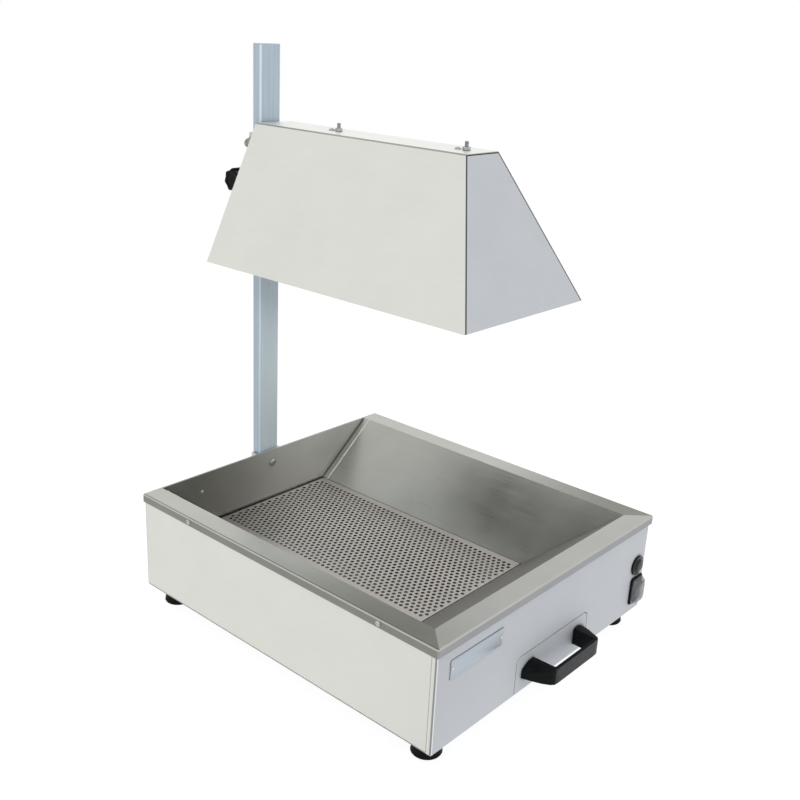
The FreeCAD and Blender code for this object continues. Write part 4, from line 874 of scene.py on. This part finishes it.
# Post: a box section with round corners
def make_post():
    low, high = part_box("post")
    outer = rounded_outline(low.x, high.x, low.y, high.y, post_corner, 10)
    inner = rounded_outline(low.x + post_wall, high.x - post_wall, low.y + post_wall, high.y - post_wall,
                            post_corner - post_wall, 10)
    mesh = bmesh.new()
    add_lofted(mesh, [level(outer, low.z), level(outer, high.z), level(inner, high.z), level(inner, low.z)],
               closed=True)
    tube = piece("post_tube", mesh, "post_film", "base", ["post"]).data
    # Painted light on the front face, paler low down, and a painted highlight on the round corners
    finish_faces(tube, "lit_lower_film", lambda face: face.normal.y < -0.9)
    finish_faces(tube, "corner_highlight_film", lambda face: min(abs(face.normal.x), abs(face.normal.y)) > 0.25)


# Feet
def make_feet():
    mesh = bmesh.new()
    for box in islands("rubber_feet"):
        foot = tip(box, (0, 0, -1))
        add_turned(mesh, foot_profile, Matrix.Translation((foot.x, foot.y, 0)), 40)
    piece("rubber_foot_set", mesh, "foot_rubber", "base", ["rubber_feet"])


# Name plate with a pressed border, and its rivets
def make_name_plate():
    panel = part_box("front_panel")[0].y
    x0, x1 = name_plate_x
    z0, z1 = name_plate_z
    mesh = bmesh.new()
    loops = []
    for borders, rise in name_plate_pressing:
        inset = name_plate_border * borders
        outline = rounded_outline(x0 + inset, x1 - inset, z0 + inset, z1 - inset,
                                  max(name_plate_corner - inset, name_plate_least_corner))
        loops.append(upright(outline, panel - name_plate_sheet * rise))
    add_lofted(mesh, loops)
    plate = piece("name_plate", mesh, "name_plate_aluminium", "base").data
    # Painted shade: the name plate's edges and pressed border walls a little darker
    finish_faces(plate, "plate_edge_shade", lambda face: abs(face.normal.y) < 0.5)
    mesh = bmesh.new()
    for x, z in name_plate_rivets:
        place = standing((x, panel - name_plate_sheet, z), (0, -1, 0))
        add_turned(mesh, [(0, 0)] + domed(*name_plate_rivet_head), place, 20)
    piece("name_plate_rivets", mesh, "weld_steel", "base")


# Basin: the rim's faces and walls each brushed their own way and painted with their own light, shade and
# reflections, corner welds, and a rivet in the rear wall
def make_basin_details():
    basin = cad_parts["basin"].data
    low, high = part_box("basin")

    def front(face):
        return face.center.y < low.y + rim_width

    def side(face):
        return abs(face.center.x) > high.x - rim_width

    def land(face):
        return face.center.z > high.z - rim_flatness and (front(face) or side(face))

    # From the broadest rule to the narrowest, each over the ones before
    for finish, keep in (
            # Painted reflection on the rear wall and the side walls, and painted shade on the inside of the
            # front wall
            ("rear_wall_reflection_steel", lambda face: face.normal.y < -0.9 and face.center.y > high.y - rim_width),
            ("basin_front_shade_steel", lambda face: face.normal.y > 0.3),
            ("basin_wall_reflection_steel", lambda face: abs(face.normal.x) > 0.3),
            # Painted shade on the rim's side skirts and painted light on its front skirt
            ("skirt_steel", lambda face: side(face) and abs(face.normal.x) > 0.9),
            ("lit_front_skirt_steel", lambda face: face.normal.y < -0.9 and face.center.y < low.y + rim_bend_depth),
            # Painted reflection on the side land, lighter towards the rear, and painted light on the front land
            ("land_steel", land),
            ("lit_front_land_steel", lambda face: land(face) and front(face) and not side(face))):
        finish_faces(basin, finish, keep)
    # Painted highlight on the rim's outer bends, then painted shade in the crease by the side land
    finish_bends("basin", "rim_bend_highlight_steel", lambda face: face.center.z > high.z - rim_bend_depth)
    finish_bends("basin", "crease_shade_steel",
                 lambda face: face.normal.z > 0.8 and face.center.z > high.z - rim_bend_depth
                 and abs(face.center.x) > high.x - rim_crease_width)

    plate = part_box("perforated_plate")[1]
    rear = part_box("rear_panel")[0].y - basin_sheet
    mesh = bmesh.new()
    for hand in (-1, 1):
        start = Vector((hand * (high.x - weld_top_inset), rear, high.z - weld_top_drop))
        end = Vector((hand * (plate.x + weld_plate_gap), rear, plate.z))
        points = [start.lerp(end, k / weld_steps) for k in range(weld_steps + 1)]
        pace = (end - start).length / weld_steps
        add_tube(mesh, points, weld_radius, 10,
                 lambda i: weld_swell * math.sin(math.tau * i * pace / weld_ripple))
    piece("corner_welds", mesh, "weld_steel", "base")
    x, z = basin_rivet
    turned_piece("rear_wall_rivet", [(0, 0)] + domed(*basin_rivet_head), standing((x, rear, z), (0, -1, 0)), 20,
                 "weld_steel", "base")


# Thermostat knob: a flat dial with a domed boss and a coloured index at its top
def make_thermostat_knob():
    low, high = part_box("thermostat_knob")
    shaft_low, shaft_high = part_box("thermostat_spindle")
    middle_x = (low.x + high.x) / 2
    middle_z = (low.z + high.z) / 2
    body = "thermostat_control"

    def facing(y):
        return standing((middle_x, y, middle_z), (0, -1, 0))

    def fluted(radius, height, turn):
        if radius > knob_fluted_from:
            return radius - knob_flute_depth * (0.5 + 0.5 * math.cos(knob_flutes * turn)) ** 3
        return radius
    turned_piece("dial_knob", knob_profile, facing(high.y), 120, "knob_phenolic", body, ["thermostat_knob"],
                 radius_at=fluted)
    turned_piece("polished_cap", [(cap_radius * share, height) for share, height in cap_profile],
                 facing(high.y - cap_seat), 64, "cap_phenolic", body, ["knob_cap"])
    near, far = index_reach
    outline = rounded_outline(middle_x - index_half_width, middle_x + index_half_width, middle_z + near,
                              middle_z + far, index_corner, 4)
    mesh = bmesh.new()
    add_lofted(mesh, [upright(outline, high.y - height) for height in index_heights])
    piece("index_mark", mesh, "red_enamel", body)
    radius = (shaft_high.x - shaft_low.x) / 2
    inner = radius - spindle_edge
    length = shaft_high.y - high.y + spindle_end
    profile = [(0, 0), (inner, 0), (radius, spindle_edge), (radius, length - spindle_edge), (inner, length),
               (0, length)]
    turned_piece("thermostat_shaft", profile, facing(shaft_high.y), 32, "zinc_steel", body,
                 ["thermostat_spindle"])


# Clamp knob: a hub and a head with rounded lobes
def make_clamp_knob():
    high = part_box("clamp_knob")[1]
    stud_low, stud_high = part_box("clamp_stud")
    place = standing((high.x, (stud_low.y + stud_high.y) / 2, (stud_low.z + stud_high.z) / 2), (-1, 0, 0))

    def lobed(radius, height, turn):
        share = max(0, (radius - clamp_face_radius) / (clamp_radius - clamp_face_radius))
        return radius - clamp_lobe_depth * share * (0.5 - 0.5 * math.cos(clamp_lobes * turn)) ** 0.8
    turned_piece("lobed_clamp_knob", clamp_profile, place, 126, "clamp_phenolic", "clamp", ["clamp_knob"],
                 radius_at=lobed)


# Switch: its bezel with the rocker's pocket, and the splash cover's two skins
def make_switch():
    low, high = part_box("switch_housing")
    rocker_low, rocker_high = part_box("rocker")
    boot_low, boot_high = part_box("switch_boot")
    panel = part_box("front_panel")[0].y
    middle_x = (low.x + high.x) / 2
    middle_z = (low.z + high.z) / 2

    def ring(half_x, half_z, corner, y):
        outline = rounded_outline(middle_x - half_x, middle_x + half_x, middle_z - half_z, middle_z + half_z,
                                  corner)
        return upright(outline, y)
    half_x = (high.x - low.x) / 2
    half_z = (high.z - low.z) / 2
    pocket = (rocker_high.x - rocker_low.x) / 2 - rocker_gap
    deep = switch_pocket_half_z
    wider, taller = pocket_mouth
    loops = [ring(*switch_body_half, switch_corner, y) for y in (high.y, panel)]
    loops += [ring(half_x - inset, half_z - inset, bezel_corner - inset, y)
              for inset, y in [(0, panel)] + [(inset, low.y + depth) for inset, depth in bezel_edge]]
    loops.append(ring(pocket + wider, deep + taller, pocket_mouth_corner, low.y))
    loops += [ring(pocket, deep, switch_corner, low.y + depth)
              for depth in (pocket_mouth_depth, switch_pocket_depth)]
    mesh = bmesh.new()
    add_lofted(mesh, loops)
    piece("switch_bezel", mesh, "switch_nylon", "base", ["switch_housing"])
    half_x = (boot_high.x - boot_low.x) / 2 - boot_inset
    half_z = (boot_high.z - boot_low.z) / 2 - boot_inset

    def skin(inset, reach, steps=10):
        loops = []
        for k in range(steps + 1):
            turn = math.pi / 2 * k / steps
            rounding = boot_round * (1 - math.cos(turn))
            corner = max(bezel_corner - inset + boot_corner_share * rounding, boot_least_corner)
            loops.append(ring(half_x - inset - rounding, half_z - inset - rounding, corner,
                              boot_high.y - reach * math.sin(turn)))
        return loops
    mesh = bmesh.new()
    add_lofted(mesh, skin(boot_wall, boot_depth - boot_wall)[::-1] + skin(0, boot_depth))
    piece("clear_switch_cover", mesh, "cover_pvc", "base", ["switch_boot"])
    soften(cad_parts["rocker"], rocker_edge)


# Drawer handle: its half sections to one side, then mirrored back on the other
def make_handle():
    low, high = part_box("drawer_handle")
    middle = (low.x + high.x) / 2 + handle_shift
    half = (high.x - low.x) / 2
    loops = []
    for hand, sections in ((-1, handle_sections), (1, handle_sections[::-1])):
        for section in sections:
            loops.append([Vector((middle + hand * (half - inset), low.y + back,
                                  low.z + rise if k < 3 else high.z - rise))
                          for k, (inset, back, rise) in enumerate(section)])
    mesh = bmesh.new()
    add_lofted(mesh, loops)
    handle = piece("bridge_handle", mesh, "handle_nylon", "drawer", ["drawer_handle"],
                   handle_edge)
    # Painted sheen: the handle's faces turned to the front painted greyer
    finish_faces(handle.data, "front_sheen_nylon", lambda face: face.normal.y < -0.85)


# Cable gland: its threaded body inside the casing, six-sided collar and ribbed cap outside
def make_cable_gland():
    low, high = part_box("cable_gland")
    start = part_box("rear_panel")[1].y - low.y
    end = start + gland_nut_height
    body = hexed(gland_across)
    profile = [(gland_bore, 0), (gland_thread_radius, 0), (gland_thread_radius, start)]
    profile += hexed_levels(gland_across, start, end, gland_nut_chamfers)
    profile += [(radius, end + rise) for radius, rise in gland_cap_profile]

    def ribbed(radius, height, turn):
        if radius > gland_cap_radius:
            return body(radius, height, turn)
        if height > end + gland_ribs_start and radius > gland_ribs_inside:
            return radius - gland_rib_depth * (0.5 + 0.5 * math.cos(gland_ribs * turn)) ** 4
        return radius
    turned_piece("ribbed_cable_gland", profile,
                 standing(((low.x + high.x) / 2, low.y, (low.z + high.z) / 2), (0, 1, 0)), 96, "switch_nylon",
                 "base", ["cable_gland"], radius_at=ribbed, closed=True)


# Lamp guard: two bars along the lamp and wires across them
def make_guard():
    low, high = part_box("lamp_guard")
    left, right = low.x + guard_frame_radius, high.x - guard_frame_radius
    z = high.z - guard_frame_radius
    length = high.y - low.y
    mesh = bmesh.new()
    for x in (left, right):
        add_tube(mesh, [Vector((x, low.y + length * k / 8, z)) for k in range(9)], guard_frame_radius)
    for k in range(1, guard_wires + 1):
        y = low.y + length * k / (guard_wires + 1)
        add_tube(mesh, [Vector((x, y, z - guard_wire_drop)) for x in (left, 0, right)], guard_wire_radius)
    piece("wire_guard", mesh, "zinc_steel", "hood", ["lamp_guard"])


# Heating element: a bent sheathed rod with a pin at each end
def bent_path(corners, bend, steps=8):
    """Points along straight runs joined by quarter bends."""
    points = [corners[0]]
    for before, corner, after in zip(corners, corners[1:], corners[2:]):
        back = (before - corner).normalized()
        ahead = (after - corner).normalized()
        centre = corner + (back + ahead) * bend
        for k in range(steps + 1):
            turn = math.pi / 2 * k / steps
            points.append(centre - ahead * bend * math.cos(turn) - back * bend * math.sin(turn))
    return points + [corners[-1]]


def make_element():
    low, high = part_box("base_heater")
    left, right = low.x + element_radius, high.x - element_radius
    front, rear = low.y + element_pin_reach, high.y - element_radius
    z = (low.z + high.z) / 2
    corners = [Vector((x, y, z)) for x, y in ((right, front), (right, rear), (left, rear), (left, front))]
    mesh = bmesh.new()
    add_tube(mesh, bent_path(corners, element_bend), element_radius, 20)
    for x in (left, right):
        add_turned(mesh, element_pin_profile, standing((x, low.y, z), (0, 1, 0)), 16)
    piece("sheathed_element", mesh, "skirt_steel", "base", ["base_heater"])


# Heat lamp: a quartz tube with necked ends, a cap on each and a coiled filament
def make_lamp():
    low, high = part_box("heat_lamp")
    z = (low.z + high.z) / 2
    length = high.y - low.y
    profile = [(radius, lamp_neck + rise) for radius, rise in lamp_shoulder]
    profile += [(radius, length - height) for radius, height in profile[::-1]]
    turned_piece("quartz_lamp_tube", profile, standing((0, low.y, z), (0, 1, 0)), 32, "lamp_quartz", "hood",
                 ["heat_lamp"])
    mesh = bmesh.new()
    for start in (low.y, high.y - lamp_cap_length):
        add_turned(mesh, lamp_cap_profile, standing((0, start, z), (0, 1, 0)), 24)
    piece("lamp_end_caps", mesh, "zinc_steel", "hood", ["heat_lamp"])
    coil_start = low.y + lamp_neck + filament_inset
    coil_length = length - 2 * (lamp_neck + filament_inset)
    steps = filament_turns * 10
    coil = []
    for k in range(steps + 1):
        turn = math.tau * filament_turns * k / steps
        coil.append(Vector((filament_radius * math.cos(turn), coil_start + coil_length * k / steps,
                            z + filament_radius * math.sin(turn))))
    mesh = bmesh.new()
    add_tube(mesh, coil, filament_wire, 5)
    piece("lamp_filament", mesh, "lamp_tungsten", "hood", ["heat_lamp"])


# Camera, lamps and stage
def set_camera():
    camera = bpy.data.objects.new("camera", bpy.data.cameras.new("camera"))
    back = Vector((math.sin(camera_azimuth) * math.cos(camera_elevation),
                   -math.cos(camera_azimuth) * math.cos(camera_elevation), math.sin(camera_elevation)))
    right = Vector((0, 0, 1)).cross(back).normalized()
    up = back.cross(right)
    turned_right = right * math.cos(camera_roll) + up * math.sin(camera_roll)
    turned_up = up * math.cos(camera_roll) - right * math.sin(camera_roll)
    rotation = Matrix((turned_right, turned_up, back)).transposed().to_4x4()
    camera.matrix_world = Matrix.Translation(camera_place) @ rotation
    camera.data.lens = camera_lens
    camera.data.sensor_width = 36.0
    camera.data.sensor_fit = "HORIZONTAL"
    bpy.context.scene.collection.objects.link(camera)
    bpy.context.scene.camera = camera


def add_lamp(name, place, size, power, colour):
    """A round area lamp aimed at the object, which doesn't show as a hot spot in the metal."""
    data = bpy.data.lights.new(name, "AREA")
    data.shape = "DISK"
    data.size = size
    data.energy = power
    data.color = linear(colour)[:3]
    lamp = bpy.data.objects.new(name, data)
    aim = (Vector(place) - stage_target).to_track_quat("Z", "Y").to_matrix().to_4x4()
    lamp.matrix_world = Matrix.Translation(place) @ aim
    bpy.context.scene.collection.objects.link(lamp)
    lamp.visible_glossy = False


def seen_directly(tree):
    """One where the camera, a reflection or a see-through surface looks, zero for the light that falls on
    things."""
    path = add_node(tree, "ShaderNodeLightPath").outputs
    seen = path["Is Camera Ray"]
    for way in ("Is Glossy Ray", "Is Transmission Ray"):
        seen = add_node(tree, "ShaderNodeMath", {"operation": "ADD", "use_clamp": True},
                        {0: seen, 1: path[way]}).outputs[0]
    return seen


def set_stage():
    world = bpy.data.worlds.new("studio")
    bpy.context.scene.world = world
    world.use_nodes = True
    tree = world.node_tree
    tree.nodes.clear()
    strength = add_node(tree, "ShaderNodeMapRange", inputs={"Value": seen_directly(tree), "To Min": room_light})
    background = add_node(tree, "ShaderNodeBackground",
                          inputs={"Color": linear("#ffffff"), "Strength": strength.outputs["Result"]})
    add_node(tree, "ShaderNodeOutputWorld", inputs={"Surface": background.outputs["Background"]})

    paper = bpy.data.materials.new("white_paper")
    paper.use_nodes = True
    tree = paper.node_tree
    tree.nodes.clear()
    grain = pattern(tree, (0.02, 0.02, 0.02))[0]
    diffuse = add_node(tree, "ShaderNodeBsdfDiffuse",
                       inputs={"Color": shaded(tree, grain, "#f4f4f4", "#f8f8f8")})
    glow = add_node(tree, "ShaderNodeEmission", inputs={"Color": linear("#ffffff"), "Strength": floor_glow})
    share = add_node(tree, "ShaderNodeMath", {"operation": "MULTIPLY"},
                     {0: seen_directly(tree), 1: floor_whiteness})
    lift = add_node(tree, "ShaderNodeMixShader",
                    inputs={0: share.outputs[0], 1: diffuse.outputs[0], 2: glow.outputs[0]})
    add_node(tree, "ShaderNodeOutputMaterial", inputs={"Surface": lift.outputs[0]})
    data = bpy.data.meshes.new("floor")
    half = floor_size / 2
    data.from_pydata([(-half, -half, 0), (half, -half, 0), (half, half, 0), (-half, half, 0)], [],
                     [(0, 1, 2, 3)])
    data.materials.append(paper)
    floor = bpy.data.objects.new("floor", data)
    bpy.context.scene.collection.objects.link(floor)

    for name, look in lamps.items():
        add_lamp(name, *look)
    bpy.context.scene.view_settings.view_transform = "Standard"


set_camera()
set_stage()
make_perforated_plate()
make_post()
make_feet()
make_fasteners()
make_studs()
make_name_plate()
make_basin_details()
make_thermostat_knob()
make_clamp_knob()
make_switch()
make_handle()
make_cable_gland()
make_guard()
make_element()
make_lamp()

# Painted highlights and shade on the bends and seams of the front panel and the hood, painted light on their
# faces, and the sheets' softened edges
panel_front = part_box("front_panel")[0].y + panel_bend_depth
# Painted light: the front panel's side faces take the lighter steel of the side panels
finish_faces(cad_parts["front_panel"].data, "lit_side_steel", lambda face: abs(face.normal.x) > 0.9)
# A painted highlight on the front panel's corner bend, and painted shade on its side part
finish_bends("front_panel", "bend_steel", lambda face: abs(face.normal.x) > 0.3 and face.center.y < panel_front)
finish_bends("front_panel", "corner_shade_steel",
             lambda face: abs(face.normal.x) > 0.7 and face.center.y < panel_front)
# Painted light: the hood's top face painted lighter than its long faces
finish_faces(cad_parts["hood_shell"].data, "lit_hood_top_steel", lambda face: face.normal.z > 0.9)
# Painted shade on the hood shell's folds
finish_bends("hood_shell", "fold_shade_steel")
# Painted shadow on the bends of the hood's front end, where it meets the shell
finish_bends("hood_front_end", "seam_shadow_steel", lambda face: face.normal.x < 0 or face.normal.z > 0.5)
for node in ("hood_shell", "hood_front_end", "hood_rear_end", "left_side_panel", "right_side_panel",
             "front_panel", "rear_panel", "basin", "drawer_front"):
    soften(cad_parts[node], sheet_edge)
